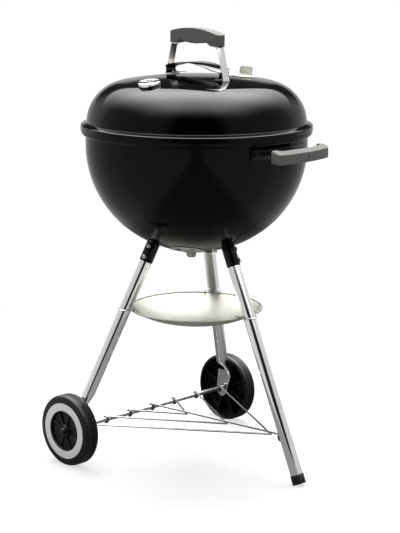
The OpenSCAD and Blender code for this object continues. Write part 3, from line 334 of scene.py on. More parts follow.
def make_finishes(c):
    """Makes every finish from the colours."""
    grain_finish("black_enamel", c.enamel, 0.09, grain=130, bump=0.010, Specular_IOR_Level=0.11)
    grain_finish("bright_metal", c.plated, 0.10, 1.0, grain=700, bump=0.008, stretch=(1, 1, 0.06))
    brushed_finish("aluminium_sheet", c.sheet, 0.45, (AXIS_X, 0, 0), metallic=0.45)
    grain_finish("zinc_steel", c.zinc, 0.42, 1.0, grain=900, bump=0.03)
    grain_finish("dark_steel", c.damper, 0.38, 1.0, grain=700, bump=0.04, tone=0.15)
    grain_finish("grate_steel", c.wire, 0.28, 1.0, grain=900, bump=0.02)
    grain_finish("charcoal_grate_steel", c.dark_wire, 0.45, 1.0, grain=600, bump=0.06, tone=0.2)
    grain_finish("grey_nylon", c.nylon, 0.60, grain=1500, bump=0.10, tone=0.05, Specular_IOR_Level=0.2)
    grain_finish("black_plastic", c.black, 0.50, grain=1200, bump=0.10, tone=0.1, Specular_IOR_Level=0.25)
    grain_finish("socket_black", c.socket, 0.24, grain=700, bump=0.05, tone=0.1, Specular_IOR_Level=0.2)
    grain_finish("pale_band", c.band, 0.5, grain=900, bump=0.04, tone=0.03)
    grain_finish("dial_white", c.dial, 0.5, grain=900, bump=0.02, tone=0.02)
    grain_finish("shield_gloss", c.shield, 0.08, 1.0, grain=500, bump=0.01, tone=0.1)
    grain_finish("dial_ink", c.ink, 0.5, grain=900, bump=0.02, tone=0.02)
    grain_finish("needle_red", c.needle, 0.4, grain=900, bump=0.02)
    FINISH["clear_lens"], tree = new_material("clear_lens")
    principled(tree, (1, 1, 1, 1), 0.0, Roughness=0.02, IOR=1.45, Transmission_Weight=1.0)


# ---- shapes ----


def arc(centre, radius, start, end, steps):
    """Points of an arc from one angle to another, in degrees."""
    angles = [math.radians(start + (end - start) * i / steps) for i in range(steps + 1)]
    return [(centre[0] + radius * math.cos(a), centre[1] + radius * math.sin(a)) for a in angles]


def raw_piece(name, bm):
    """Turns a bmesh into an object that has no finish and no body yet."""
    mesh = bpy.data.meshes.new(name)
    bm.to_mesh(mesh)
    bm.free()
    piece = bpy.data.objects.new(name, mesh)
    bpy.context.scene.collection.objects.link(piece)
    return piece


def dress(piece, slot, body, *replaced, finish=None):
    """Gives a piece its finish and its body, and hides the frame's solids that it stands for."""
    piece.data.materials.clear()
    piece.data.materials.append(FINISH[finish or slot])
    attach(piece, body)
    if replaced:
        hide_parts(*replaced)


def revolve(outline, turns, axis_x=0.0):
    """A bmesh turned about an upright axis from (radius, height) points; ends on the axis are poles."""
    bm = bmesh.new()
    rows = []
    for radius, height in outline:
        if radius < 1e-7:
            rows.append([bm.verts.new((axis_x, 0, height))])
        else:
            angles = [2 * math.pi * k / turns for k in range(turns)]
            rows.append([bm.verts.new((axis_x + radius * math.cos(a), radius * math.sin(a), height))
                         for a in angles])
    closed = len(rows[0]) > 1
    pairs = list(zip(rows, rows[1:])) + ([(rows[-1], rows[0])] if closed else [])
    for low, high in pairs:
        for k in range(turns):
            n = (k + 1) % turns
            if len(low) == 1 and len(high) == 1:
                continue
            if len(low) == 1:
                bm.faces.new((low[0], high[k], high[n]))
            elif len(high) == 1:
                bm.faces.new((low[n], low[k], high[0]))
            else:
                bm.faces.new((low[n], low[k], high[k], high[n]))
    bmesh.ops.recalc_face_normals(bm, faces=bm.faces)
    return bm


def skin(rings):
    """A closed bmesh over rings with the same number of points."""
    bm = bmesh.new()
    rows = [[bm.verts.new(p) for p in ring] for ring in rings]
    for low, high in zip(rows, rows[1:]):
        for k in range(len(low)):
            n = (k + 1) % len(low)
            bm.faces.new((low[k], low[n], high[n], high[k]))
    bm.faces.new(rows[0])
    bm.faces.new(rows[-1][::-1])
    bmesh.ops.recalc_face_normals(bm, faces=bm.faces)
    return bm


def block(middle, sizes):
    """A bmesh of one box."""
    bm = bmesh.new()
    bmesh.ops.create_cube(bm, size=1, matrix=Matrix.Translation(middle) @ Matrix.Diagonal((*sizes, 1)))
    return bm


def facing(place, way):
    """The move that takes a shape's upright axis to a place and a way."""
    return Matrix.Translation(place) @ Vector(way).to_track_quat("Z", "Y").to_matrix().to_4x4()


def smooth(mesh, sharp=35):
    """Shades a mesh smoothly but for edges sharper than this many degrees."""
    mesh.polygons.foreach_set("use_smooth", [True] * len(mesh.polygons))
    mesh.set_sharp_from_angle(angle=math.radians(sharp))


def plain_mesh(piece):
    """Turns a piece's modifiers into its mesh and removes them."""
    bpy.context.view_layer.update()
    done = bpy.data.meshes.new_from_object(piece.evaluated_get(bpy.context.evaluated_depsgraph_get()))
    piece.modifiers.clear()
    old, piece.data = piece.data, done
    bpy.data.meshes.remove(old)


def bevelled(piece, width, segments=2, sharp=30):
    """Rounds a piece's sharp edges and shades the rest smoothly."""
    edge = piece.modifiers.new("edges", "BEVEL")
    edge.width, edge.segments = width, segments
    edge.limit_method, edge.angle_limit = "ANGLE", math.radians(sharp)
    plain_mesh(piece)
    smooth(piece.data, sharp)
    return piece


def softened(piece, voxel, rounds):
    """Rounds a moulded piece all over: small voxels, then a few rounds of smoothing."""
    voxels = piece.modifiers.new("voxels", "REMESH")
    voxels.mode, voxels.voxel_size = "VOXEL", voxel
    ease = piece.modifiers.new("ease", "SMOOTH")
    ease.factor, ease.iterations = 0.5, rounds
    plain_mesh(piece)
    smooth(piece.data, 60)
    return piece


def merged_copy(node):
    """A bmesh of one of the frame's nodes, with its loose triangles merged into whole faces."""
    bm = bmesh.new()
    bm.from_mesh(frame["nodes"][node].data)
    bmesh.ops.remove_doubles(bm, verts=bm.verts, dist=2e-6)
    bmesh.ops.dissolve_limit(bm, angle_limit=math.radians(0.5), verts=bm.verts, edges=bm.edges)
    return bm


def solid_centres(node):
    """The middle of each separate solid in one of the frame's nodes."""
    bm = merged_copy(node)
    left = set(bm.verts)
    centres = []
    while left:
        group = {left.pop()}
        front = list(group)
        while front:
            front = [e.other_vert(v) for v in front for e in v.link_edges if e.other_vert(v) in left]
            left.difference_update(front)
            group.update(front)
        low = Vector([min(v.co[i] for v in group) for i in range(3)])
        high = Vector([max(v.co[i] for v in group) for i in range(3)])
        centres.append((low + high) / 2)
    bm.free()
    return sorted(centres, key=tuple)


def cut_with(piece, bm, name):
    """Cuts a bmesh's solids out of a piece."""
    cutter = raw_piece(name, bm)
    cut = piece.modifiers.new(name, "BOOLEAN")
    cut.object, cut.operation, cut.solver = cutter, "DIFFERENCE", "EXACT"
    plain_mesh(piece)
    if not piece.data.polygons:
        raise RuntimeError(f"cutting {name} left nothing of {piece.name}")
    mesh = cutter.data
    bpy.data.objects.remove(cutter)
    bpy.data.meshes.remove(mesh)


def drill(piece, bars):
    """Cuts round holes: each bar is (centre, direction, radius, length)."""
    bm = bmesh.new()
    for centre, direction, radius, length in bars:
        bmesh.ops.create_cone(bm, cap_ends=True, segments=36, radius1=radius, radius2=radius, depth=length,
                              matrix=facing(centre, direction))
    cut_with(piece, bm, "bars")


def cross_recesses(piece, heads, arm=2.6 * MM, wide=0.8 * MM, deep=1.3 * MM):
    """Cuts a cross into each screw head: heads are (middle of the head's face, way out)."""
    half = wide / 2
    quarter = [(arm, -half), (arm, half), (half, half)]
    outline = []
    for _ in range(4):
        outline += quarter
        quarter = [(-y, x) for x, y in quarter]
    bm = bmesh.new()
    for face, way in heads:
        place = facing(face, way)
        low, high = [[bm.verts.new(place @ Vector((x, y, z))) for x, y in outline] for z in (-deep, deep)]
        bm.faces.new(high)
        bm.faces.new(low[::-1])
        for k, corner in enumerate(low):
            bm.faces.new((low[k - 1], corner, high[k], high[k - 1]))
    cut_with(piece, bm, "crosses")


def band_inner(node):
    """Inner radius of a flat ring about the axle."""
    low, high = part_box(node)
    middle = (low + high) / 2
    return min(math.hypot(v.co.x - middle.x, v.co.z - middle.z) for v in frame["nodes"][node].data.vertices)


def dome_normals(mesh, centre, radius, wall):
    """Gives the faces on a dome's two spheres exact normals, so that holes leave no mark in the gloss."""
    centre = Vector(centre)
    near = 0.02 * MM
    aligned = 0.99
    normals = []
    for face in mesh.polygons:
        for v in face.vertices:
            out = mesh.vertices[v].co - centre
            away = out.length
            out.normalize()
            lean = face.normal.dot(out)
            if abs(away - radius) < near and lean > aligned:
                normals.append(out)
            elif abs(away - radius + wall) < near and lean < -aligned:
                normals.append(-out)
            else:
                # A normal of no length leaves the shading as it is
                normals.append(Vector((0, 0, 0)))
    mesh.normals_split_custom_set(normals)


def lid_outline(shells):
    """The lid's section, outer and inner side, from crown to skirt, and the height of the crown's centre."""
    flange_slope = 20.0
    wall_slope = 2.4
    skirt_r = (LID_HIGH.x - LID_LOW.x) / 2
    corner = (skirt_r - shells.lid_corner, LID_LOW.z + shells.lid_skirt)
    crown_z = LID_HIGH.z - shells.lid_crown
    shoulder_r = shells.lid_radius - shells.lid_shoulder * math.cos(math.radians(wall_slope))
    shoulder_z = crown_z + math.sqrt((shells.lid_crown - shells.lid_shoulder) ** 2 - shoulder_r ** 2)
    lean = math.degrees(math.atan2(shoulder_z - crown_z, shoulder_r))
    fillet = (shells.lid_radius + shells.lid_fillet,
              shoulder_z + shells.lid_shoulder * math.sin(math.radians(wall_slope)))

    def side(inset):
        return (arc((0, crown_z), shells.lid_crown - inset, 90, lean, 22)
                + arc((shoulder_r, shoulder_z), shells.lid_shoulder - inset, lean, wall_slope, 32)[1:]
                + arc(fillet, shells.lid_fillet + inset, 180, 270 - flange_slope, 6)
                + arc(corner, shells.lid_corner - inset, 90 - flange_slope, 0, 8)
                + [(skirt_r - inset, LID_LOW.z)])

    return side(0), side(shells.wall), crown_z


def bowl_outline(shells):
    """The bowl's section, outer and inner side, from base to rim, and the height of the base's centre."""
    rim_r = (BOWL_HIGH.x - BOWL_LOW.x) / 2 - shells.rim_roll
    rim_z = BOWL_HIGH.z - shells.rim_roll
    base_z = BOWL_LOW.z + shells.bowl_base
    shoulder_r = shells.bowl_radius - shells.bowl_shoulder
    shoulder_z = base_z - math.sqrt((shells.bowl_base - shells.bowl_shoulder) ** 2 - shoulder_r ** 2)
    lean = math.degrees(math.atan2(shoulder_z - base_z, shoulder_r))

    def side(inset):
        roll = shells.rim_roll - shells.wall + inset
        return (arc((0, base_z), shells.bowl_base - inset, -90, lean, 26)
                + arc((shoulder_r, shoulder_z), shells.bowl_shoulder - inset, lean, 0, 28)[1:]
                + arc((rim_r, rim_z), roll, 180, 0, 16)
                + arc((rim_r, rim_z - shells.rim_drop), roll, 0, -80, 8))

    return side(0), side(shells.wall), base_z


def plane_axes(way):
    """Two directions across a surface that faces the given way: up or down its slope, and level."""
    out = Vector((way.x, way.y, 0)).normalized()
    first = (out - out.dot(way) * way).normalized()
    return first, way.cross(first)


def air_holes(joint, shells):
    """The bars that cut a damper's four air holes and its rivet hole through a shell."""
    place, way = PIVOT[joint]
    upright = abs(way.x) + abs(way.y) < 1e-6
    first, second = plane_axes(Vector((1 * MM, 0, way.z)) if upright else way)
    bars = [(place, way, RIVET_HOLE, CUT)]
    for turn in (45, 135, 225, 315):
        across = math.cos(math.radians(turn)) * first + math.sin(math.radians(turn)) * second
        bars.append((place + shells.air_hole_at * across, way, shells.air_hole, CUT))
    return bars


def leg_rings(legs, side, axle, top):
    """Level rings down a wheel leg: a leaning round tube, crushed to a blade that ends round the axle."""
    points = 48
    crush_steps = 12
    squareness = 0.55
    turn = math.radians(LEG_STEP)
    out = Vector((math.cos(turn), side * math.sin(turn), 0))
    across = Vector((-out.y, out.x, 0))
    long = legs.tube / math.cos(legs.tilt)
    slant = (long - legs.tube) * out.x * out.y
    tube = ((long * out.x ** 2 + legs.tube * across.x ** 2, slant),
            (slant, long * out.y ** 2 + legs.tube * across.y ** 2))
    blade = ((legs.blade, 0), (0, legs.blade_wall / 2))
    neck = legs.neck_top - legs.neck_low
    heights = ([top, (top + legs.neck_top) / 2]
               + [legs.neck_top - neck * i / crush_steps for i in range(crush_steps + 1)]
               + [AXLE_Z + legs.blade * 0.02]
               + [AXLE_Z - legs.blade * math.sin(math.radians(a)) for a in range(8, 90, 8)])
    rings = []
    for z in heights:
        flat = min(max((legs.neck_top - z) / neck, 0), 1)
        flat = flat * flat * (3 - 2 * flat)
        above = min(max((z - AXLE_Z) / (legs.neck_low - AXLE_Z), 0), 1)
        on_leg = Vector((AXIS_X, 0, z)) + out * (legs.foot - z * math.tan(legs.tilt))
        on_blade = Vector((axle.x + legs.neck_shift * above, axle.y, z))
        centre = on_leg.lerp(on_blade, flat)
        narrow = legs.blade_end + (1 - legs.blade_end) * above
        narrow *= math.sqrt(max(1 - (min(z - AXLE_Z, 0) / legs.blade) ** 2, 0.002))
        (xx, xy), (yx, yy) = [[t * (1 - flat) + b * flat for t, b in zip(*rows)] for rows in zip(tube, blade)]
        power = 1 - squareness * flat
        ring = []
        for k in range(points):
            around = 2 * math.pi * k / points
            c, d = [math.copysign(abs(v) ** power, v) for v in (math.cos(around), math.sin(around))]
            ring.append((centre.x + narrow * (xx * c + xy * d), centre.y + yx * c + yy * d, z))
        rings.append(ring)
    return rings


def pan_outline(pan):
    """Section of the ash pan: its under side, the bead at its rim, and its upper side back to the middle."""
    steps = 110
    low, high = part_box("ash_pan")
    rim_r = (high.x - low.x) / 2 - pan.bead
    rim_z = high.z - pan.bead
    depth = rim_z - low.z
    run = rim_r - pan.flat
    bend = (run ** 2 + depth ** 2) / (2 * depth)
    pressed = (pan.flat, pan.flat + pan.press_wide * 1.6, pan.flat * 0.5)
    under = []
    for step in range(steps + 1):
        r = rim_r * step / steps
        rise = bend - math.sqrt(bend ** 2 - max(r - pan.flat, 0) ** 2)
        press = sum(pan.press * math.exp(-((r - ring) / (pan.press_wide / 2)) ** 2) for ring in pressed)
        under.append((r, low.z + rise + press))
    over = [(r, z + pan.wall) for r, z in under]
    return under[:-2] + arc((rim_r, rim_z), pan.bead, -60, 200, 14) + over[-4::-1]


def wheel_outline(wheel, band_low, band_high):
    """Section of a wheel as (radius, distance from its inner face) points, from bore round to bore."""
    w, r, hub, groove = wheel.width, wheel.radius, wheel.hub, wheel.groove
    tread_low, tread_high = 6 * MM, w - 11 * MM
    inner_round, outer_round = 4 * MM, 8 * MM
    inside = r - wheel.tread_wall
    web_low = w - wheel.recess - wheel.web
    plate_low = w - MM - wheel.web
    lip_in = band_low - wheel.lip
    inner_face = [(wheel.bore, -wheel.hub_in), (hub - MM, -wheel.hub_in), (hub, MM - wheel.hub_in),
                  (hub, web_low), (lip_in, web_low), (band_low + wheel.lip, web_low),
                  (band_low + wheel.lip, plate_low), (band_high + 4 * MM, plate_low), (inside, tread_high),
                  (inside, 0), (r - 3 * MM, 0)]
    tread = arc((r - inner_round, inner_round), inner_round, -70, 0, 4)
    for i in range(wheel.grooves):
        at = tread_low + (tread_high - tread_low) * (i + 0.5) / wheel.grooves
        edge, floor = wheel.groove_wide / 2, wheel.groove_wide / 3
        tread += [(r, at - edge), (r - groove, at - floor), (r - groove, at + floor), (r, at + edge)]
    tread += arc((r - outer_round, w - 8.5 * MM), outer_round, 0, 62, 6)
    outer_face = [(band_high + 1.5 * MM, w - 0.4 * MM), (band_high, w), (band_high, w - MM),
                  (band_low, w - MM), (band_low, w), (lip_in + 0.6 * MM, w), (lip_in, w - 1.2 * MM),
                  (lip_in, w - wheel.recess), (hub, w - wheel.recess), (hub, w - 1.5 * MM),
                  (hub - 1.5 * MM, w), (hub - 4 * MM, w), (hub - 4.6 * MM, w - MM), (wheel.bore, w - MM)]
    return inner_face + tread + outer_face


# ---- node trees for what repeats ----


def repeat_tree(name, inputs, build):
    """A node tree that puts a piece's mesh on points: build() gives the points and their turns or scales."""
    group = bpy.data.node_groups.new(name, "GeometryNodeTree")
    group.interface.new_socket("Geometry", in_out="OUTPUT", socket_type="NodeSocketGeometry")
    for socket, kind in (("Geometry", "Geometry"), *inputs, ("Finish", "Material")):
        group.interface.new_socket(socket, in_out="INPUT", socket_type="NodeSocket" + kind)
    tree = Tree(group)
    source = tree.add("NodeGroupInput").outputs
    copies = tree.add("GeometryNodeInstanceOnPoints", Instance=source["Geometry"], **build(tree, source))
    real = tree.add("GeometryNodeRealizeInstances", i0=copies.outputs[0])
    finished = tree.add("GeometryNodeSetMaterial", Geometry=real.outputs[0], Material=source["Finish"])
    tree.add("NodeGroupOutput", i0=finished.outputs[0])
    return group


ROUND = (("Count", "Int"), ("Start", "Float"), ("Step", "Float"))
ACROSS = (("Each side", "Int"), ("Pitch", "Float"), ("Radius", "Float"))


def round_points(tree, source):
    """Points on the axis, each turned a step further round it."""
    index = tree.add("GeometryNodeInputIndex").outputs[0]
    around = tree.math("MULTIPLY_ADD", index, source["Step"], source["Start"])
    return {"Points": tree.add("GeometryNodePoints", Count=source["Count"]).outputs[0],
            "Rotation": tree.add("ShaderNodeCombineXYZ", Z=around).outputs[0]}


def chord_points(tree, source):
    """Points across a circle, each scaled along X to the length of its chord."""
    wires = tree.math("MULTIPLY_ADD", source["Each side"], 2.0, 1.0)
    first = tree.math("MULTIPLY", source["Each side"], source["Pitch"])
    start = tree.add("ShaderNodeCombineXYZ", Y=tree.math("MULTIPLY", first, -1.0)).outputs[0]
    step = tree.add("ShaderNodeCombineXYZ", Y=source["Pitch"]).outputs[0]
    line = tree.add("GeometryNodeMeshLine", Count=wires, Start_Location=start, Offset=step).outputs[0]
    place = tree.add("GeometryNodeInputPosition").outputs[0]
    away = tree.math("ABSOLUTE", tree.add("ShaderNodeSeparateXYZ", i0=place).outputs["Y"])
    squares = [tree.math("POWER", value, 2.0) for value in (source["Radius"], away)]
    half = tree.math("SQRT", tree.math("SUBTRACT", *squares))
    scale = tree.add("ShaderNodeCombineXYZ", X=tree.math("MULTIPLY", half, 2.0), Y=1.0, Z=1.0).outputs[0]
    return {"Points": line, "Scale": scale}


def repeated(piece, group, values):
    """Repeats a piece's mesh by a node tree, whose inputs are set by their sockets' identifiers."""
    repeat = piece.modifiers.new("repeat", "NODES")
    repeat.node_group = group
    for item in group.interface.items_tree:
        if item.in_out == "INPUT" and item.name in values:
            repeat[item.identifier] = values[item.name]
    plain_mesh(piece)


# ---- operators ----


class GrillOperator:
    """What the operators share"""
    bl_options = {"REGISTER", "UNDO"}


class GRILL_OT_finishes(GrillOperator, bpy.types.Operator):
    """Make the finishes and give each of the frame's solids its own"""
    bl_idname = "grill.finishes"
    bl_label = "Finishes"

    def execute(self, context):
        make_finishes(context.scene.grill_colours)
        for name, node in frame["nodes"].items():
            node.data.materials.clear()
            node.data.materials.append(FINISH[SLOT_OF[name]])
        return {"FINISHED"}


class GRILL_OT_bowl(GrillOperator, bpy.types.Operator):
    """Spin the bowl's enamelled shell and cut its holes"""
    bl_idname = "grill.bowl"
    bl_label = "Bowl shell"

    def execute(self, context):
        shells = context.scene.grill_shells
        outer, inner, base_z = bowl_outline(shells)
        piece = raw_piece("bowl_shell", revolve(outer + inner[::-1], shells.turns, AXIS_X))
        dampers = [place + "_damper_turn" for place in ("front", "back", "wheel_side")]
        drill(piece, [bar for joint in dampers for bar in air_holes(joint, shells)])
        smooth(piece.data)
        dome_normals(piece.data, (AXIS_X, 0, base_z), shells.bowl_base, shells.wall)
        dress(piece, "black_enamel", "stand", "bowl")
        return {"FINISHED"}


class GRILL_OT_lid(GrillOperator, bpy.types.Operator):
    """Spin the lid's enamelled shell and cut its holes"""
    bl_idname = "grill.lid"
    bl_label = "Lid shell"

    def execute(self, context):
        shells = context.scene.grill_shells
        outer, inner, crown_z = lid_outline(shells)
        piece = raw_piece("lid_shell", revolve(outer + inner[::-1], shells.turns, AXIS_X))
        middle = Vector((AXIS_X, 0, crown_z))
        gauge, way = PIVOT["needle_turn"]
        bars = air_holes("lid_damper_turn", shells) + [(gauge, way, GAUGE_HOLE, CUT)]
        for bolt in solid_centres("strap_bolts"):
            bars.append((bolt, bolt - middle, BOLT_HOLE, 1.5 * CUT))
        drill(piece, bars)
        smooth(piece.data)
        dome_normals(piece.data, middle, shells.lid_crown, shells.wall)
        dress(piece, "black_enamel", "lid", "lid")
        return {"FINISHED"}


# Pieces that keep the frame's own shape, with their edges rounded by this much in millimetres
ROUNDED = {
    "foot_leg_socket": 0.5, "left_leg_socket": 0.5, "right_leg_socket": 0.5, "foot_leg": 0.2, "foot_cap": 1.0,
    "axle": 0.5, "axle_caps": 0.8, "foot_pan_clip": 0.0, "left_pan_clip": 0.0, "right_pan_clip": 0.0,
    "rack_outer_wire": 0.0, "rack_middle_wire": 0.0, "rack_inner_wire": 0.0, "rack_spine_wire": 0.0,
    "side_handle_bracket": 0.4, "front_damper": 0.25, "back_damper": 0.25, "wheel_side_damper": 0.25,
    "bowl_damper_rivets": 0.5, "lid_damper": 0.25, "lid_damper_rivet": 0.5, "right_handle_strap": 0.6,
    "left_handle_strap": 0.6, "heat_shield": 0.3, "strap_bolts": 0.6, "strap_nuts": 0.4,
    "thermometer_bezel": 0.6, "thermometer_dial": 0.1, "thermometer_lens": 0.3, "thermometer_needle": 0.1,
    "thermometer_stem": 0.3, "thermometer_nut": 0.4, "cooking_grate_tabs": 0.4, "charcoal_grate_tabs": 0.4,
    "cooking_grate_frame": 0.0, "cooking_grate_handles": 0.0, "charcoal_grate_frame": 0.0,
    "left_wheel_band": 0.2, "right_wheel_band": 0.2,
}


class GRILL_OT_fittings(GrillOperator, bpy.types.Operator):
    """Round and smooth the sheet parts, wires, tubes and fasteners"""
    bl_idname = "grill.fittings"
    bl_label = "Fittings"

    def execute(self, context):
        for node, edge in ROUNDED.items():
            piece = raw_piece(node + "_finished", merged_copy(node))
            if edge:
                bevelled(piece, edge * MM)
            else:
                smooth(piece.data)
            finish = "shield_gloss" if node == "heat_shield" else SLOT_OF[node]
            dress(piece, SLOT_OF[node], BODY_OF[node], node, finish=finish)
        return {"FINISHED"}


def screw_face(node, centre, tilt):
    """The middle of a screw head's face and the way that it looks."""
    if node == "leg_screws":
        turn = math.degrees(math.atan2(centre.y, centre.x - AXIS_X))
        line = math.radians(round(turn / LEG_STEP) * LEG_STEP)
        out = Vector((math.cos(line), math.sin(line), 0)) * math.cos(tilt) + Vector((0, 0, math.sin(tilt)))
        way = (out + Vector((-math.sin(line), math.cos(line), 0))).normalized()
        return centre + way * 3.25 * MM, way
    if node == "rack_screw":
        way = Vector((-math.cos(tilt), 0, -math.sin(tilt)))
        return centre + way * 2.25 * MM, way
    return Vector((centre.x, centre.y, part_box(node)[0].z)), Vector((0, 0, -1))


class GRILL_OT_screws(GrillOperator, bpy.types.Operator):
    """Round the screws' heads and cut a cross into each"""
    bl_idname = "grill.screws"
    bl_label = "Screws"

    def execute(self, context):
        tilt = context.scene.grill_legs.tilt
        for node in ("leg_screws", "grip_screws", "side_handle_screws", "rack_screw"):
            piece = bevelled(raw_piece(node + "_finished", merged_copy(node)), 0.7 * MM, 3)
            cross_recesses(piece, [screw_face(node, centre, tilt) for centre in solid_centres(node)])
            smooth(piece.data, 40)
            dress(piece, SLOT_OF[node], BODY_OF[node], node)
        return {"FINISHED"}


class GRILL_OT_handles(GrillOperator, bpy.types.Operator):
    """Mould the lid's grip and the side handle with soft edges"""
    bl_idname = "grill.handles"
    bl_label = "Handles"

    def execute(self, context):
        for node in ("lid_grip", "side_handle"):
            piece = softened(raw_piece(node + "_moulded", merged_copy(node)), 0.9 * MM, 14)
            dress(piece, "grey_nylon", BODY_OF[node], node)
        return {"FINISHED"}


class GRILL_OT_wheel_legs(GrillOperator, bpy.types.Operator):
    """Loft the wheel legs from round tube to flat blade"""
    bl_idname = "grill.wheel_legs"
    bl_label = "Wheel legs"

    def execute(self, context):
        legs = context.scene.grill_legs
        for side, node in ((1, "right_wheel_leg"), (-1, "left_wheel_leg")):
            low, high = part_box(node)
            blade_y = (high.y if side > 0 else low.y) - side * legs.blade_wall / 2
            axle = Vector((AXLE_X, blade_y, AXLE_Z))
            piece = raw_piece(node + "_loft", skin(leg_rings(legs, side, axle, high.z)))
            drill(piece, [(axle, (0, 1, 0), AXLE_HOLE, 12 * MM)])
            smooth(piece.data, 40)
            dress(piece, "bright_metal", "stand", node)
        return {"FINISHED"}


class GRILL_OT_ash_pan(GrillOperator, bpy.types.Operator):
    """Spin the ash pan with its pressed rings and its bead"""
    bl_idname = "grill.ash_pan"
    bl_label = "Ash pan"

    def execute(self, context):
        piece = raw_piece("ash_pan_spun", revolve(pan_outline(context.scene.grill_pan), 144, AXIS_X))
        smooth(piece.data, 50)
        dress(piece, "aluminium_sheet", "stand", "ash_pan")
        return {"FINISHED"}


class GRILL_OT_wheels(GrillOperator, bpy.types.Operator):
    """Spin the wheels with their grooved treads and set the ribs between hub and tread"""
    bl_idname = "grill.wheels"
    bl_label = "Wheels"

    def execute(self, context):
        wheel = context.scene.grill_wheels
        group = repeat_tree("ribs_round_a_hub", ROUND, round_points)
        inner, outer = wheel.hub - MM, wheel.radius - wheel.tread_wall + MM
        low, high = 8 * MM, wheel.width - 2.5 * MM
        step = 2 * math.pi / wheel.spokes
        for side, name in ((1, "right_wheel"), (-1, "left_wheel")):
            band_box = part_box(name + "_band")
            outer_y = band_box[1].y if side > 0 else band_box[0].y
            place = (Matrix.Translation((AXLE_X, outer_y - side * wheel.width, AXLE_Z))
                     @ Matrix.Rotation(-side * math.pi / 2, 4, "X"))
            band_high = (band_box[1].x - band_box[0].x) / 2
            bm = revolve(wheel_outline(wheel, band_inner(name + "_band"), band_high), 120)
            bm.transform(place)
            piece = raw_piece(name + "_moulded", bm)
            smooth(piece.data, 32)
            dress(piece, "black_plastic", name, name)
            rib = block(((inner + outer) / 2, 0, (low + high) / 2), (outer - inner, wheel.rib, high - low))
            ribs = bevelled(raw_piece(name + "_ribs", rib), 0.6 * MM)
            repeated(ribs, group, {"Count": wheel.spokes, "Start": step / 2, "Step": step,
                                   "Finish": FINISH["black_plastic"]})
            ribs.data.transform(place)
            smooth(ribs.data)
            dress(ribs, "black_plastic", name)
        return {"FINISHED"}


class GRILL_OT_grates(GrillOperator, bpy.types.Operator):
    """Lay the parallel wires across both grates"""
    bl_idname = "grill.grates"
    bl_label = "Grate wires"

    def execute(self, context):
        wires = context.scene.grill_wires
        group = repeat_tree("wires_across_a_ring", ACROSS, chord_points)
        for grate, wire, pitch in (("cooking", wires.cooking_wire, wires.cooking_pitch),
                                   ("charcoal", wires.charcoal_wire, wires.charcoal_pitch)):
            node = grate + "_grate_wires"
            ring_low, ring_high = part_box(grate + "_grate_frame")
            ring = (ring_high.x - ring_low.x) / 2 - wire
            low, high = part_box(node)
            bm = bmesh.new()
            bmesh.ops.create_cone(bm, cap_ends=True, segments=16, radius1=wire, radius2=wire, depth=1,
                                  matrix=Matrix.Rotation(math.pi / 2, 4, "Y"))
            piece = raw_piece(node + "_laid", bm)
            each_side = int((ring - 2 * wire) / pitch + 1e-6)
            repeated(piece, group, {"Each side": each_side, "Pitch": pitch, "Radius": ring,
                                    "Finish": FINISH[SLOT_OF[node]]})
            piece.data.transform(Matrix.Translation((AXIS_X, 0, (low.z + high.z) / 2)))
            smooth(piece.data)
            dress(piece, SLOT_OF[node], BODY_OF[node], node)
        return {"FINISHED"}


class GRILL_OT_dial(GrillOperator, bpy.types.Operator):
    """Print plain marks round the thermometer's dial"""
    bl_idname = "grill.dial"
    bl_label = "Dial marks"

    def execute(self, context):
        dial = context.scene.grill_dial
        above_pivot = 3.05 * MM
        thick = 0.1 * MM
        marks = raw_piece("dial_marks", block((dial.tick_at - dial.tick_long / 2, 0, above_pivot),
                                              (dial.tick_long, dial.tick_wide, thick)))
        repeated(marks, repeat_tree("marks_round_a_dial", ROUND, round_points),
                 {"Count": dial.ticks, "Start": -dial.sweep / 2, "Step": dial.sweep / (dial.ticks - 1),
                  "Finish": FINISH["dial_ink"]})
        place, way = PIVOT["needle_turn"]
        turn = Matrix((*plane_axes(way), way)).transposed().to_4x4()
        marks.data.transform(Matrix.Translation(place) @ turn)
        dress(marks, SLOT_OF["thermometer_dial"], "lid", finish="dial_ink")
        return {"FINISHED"}


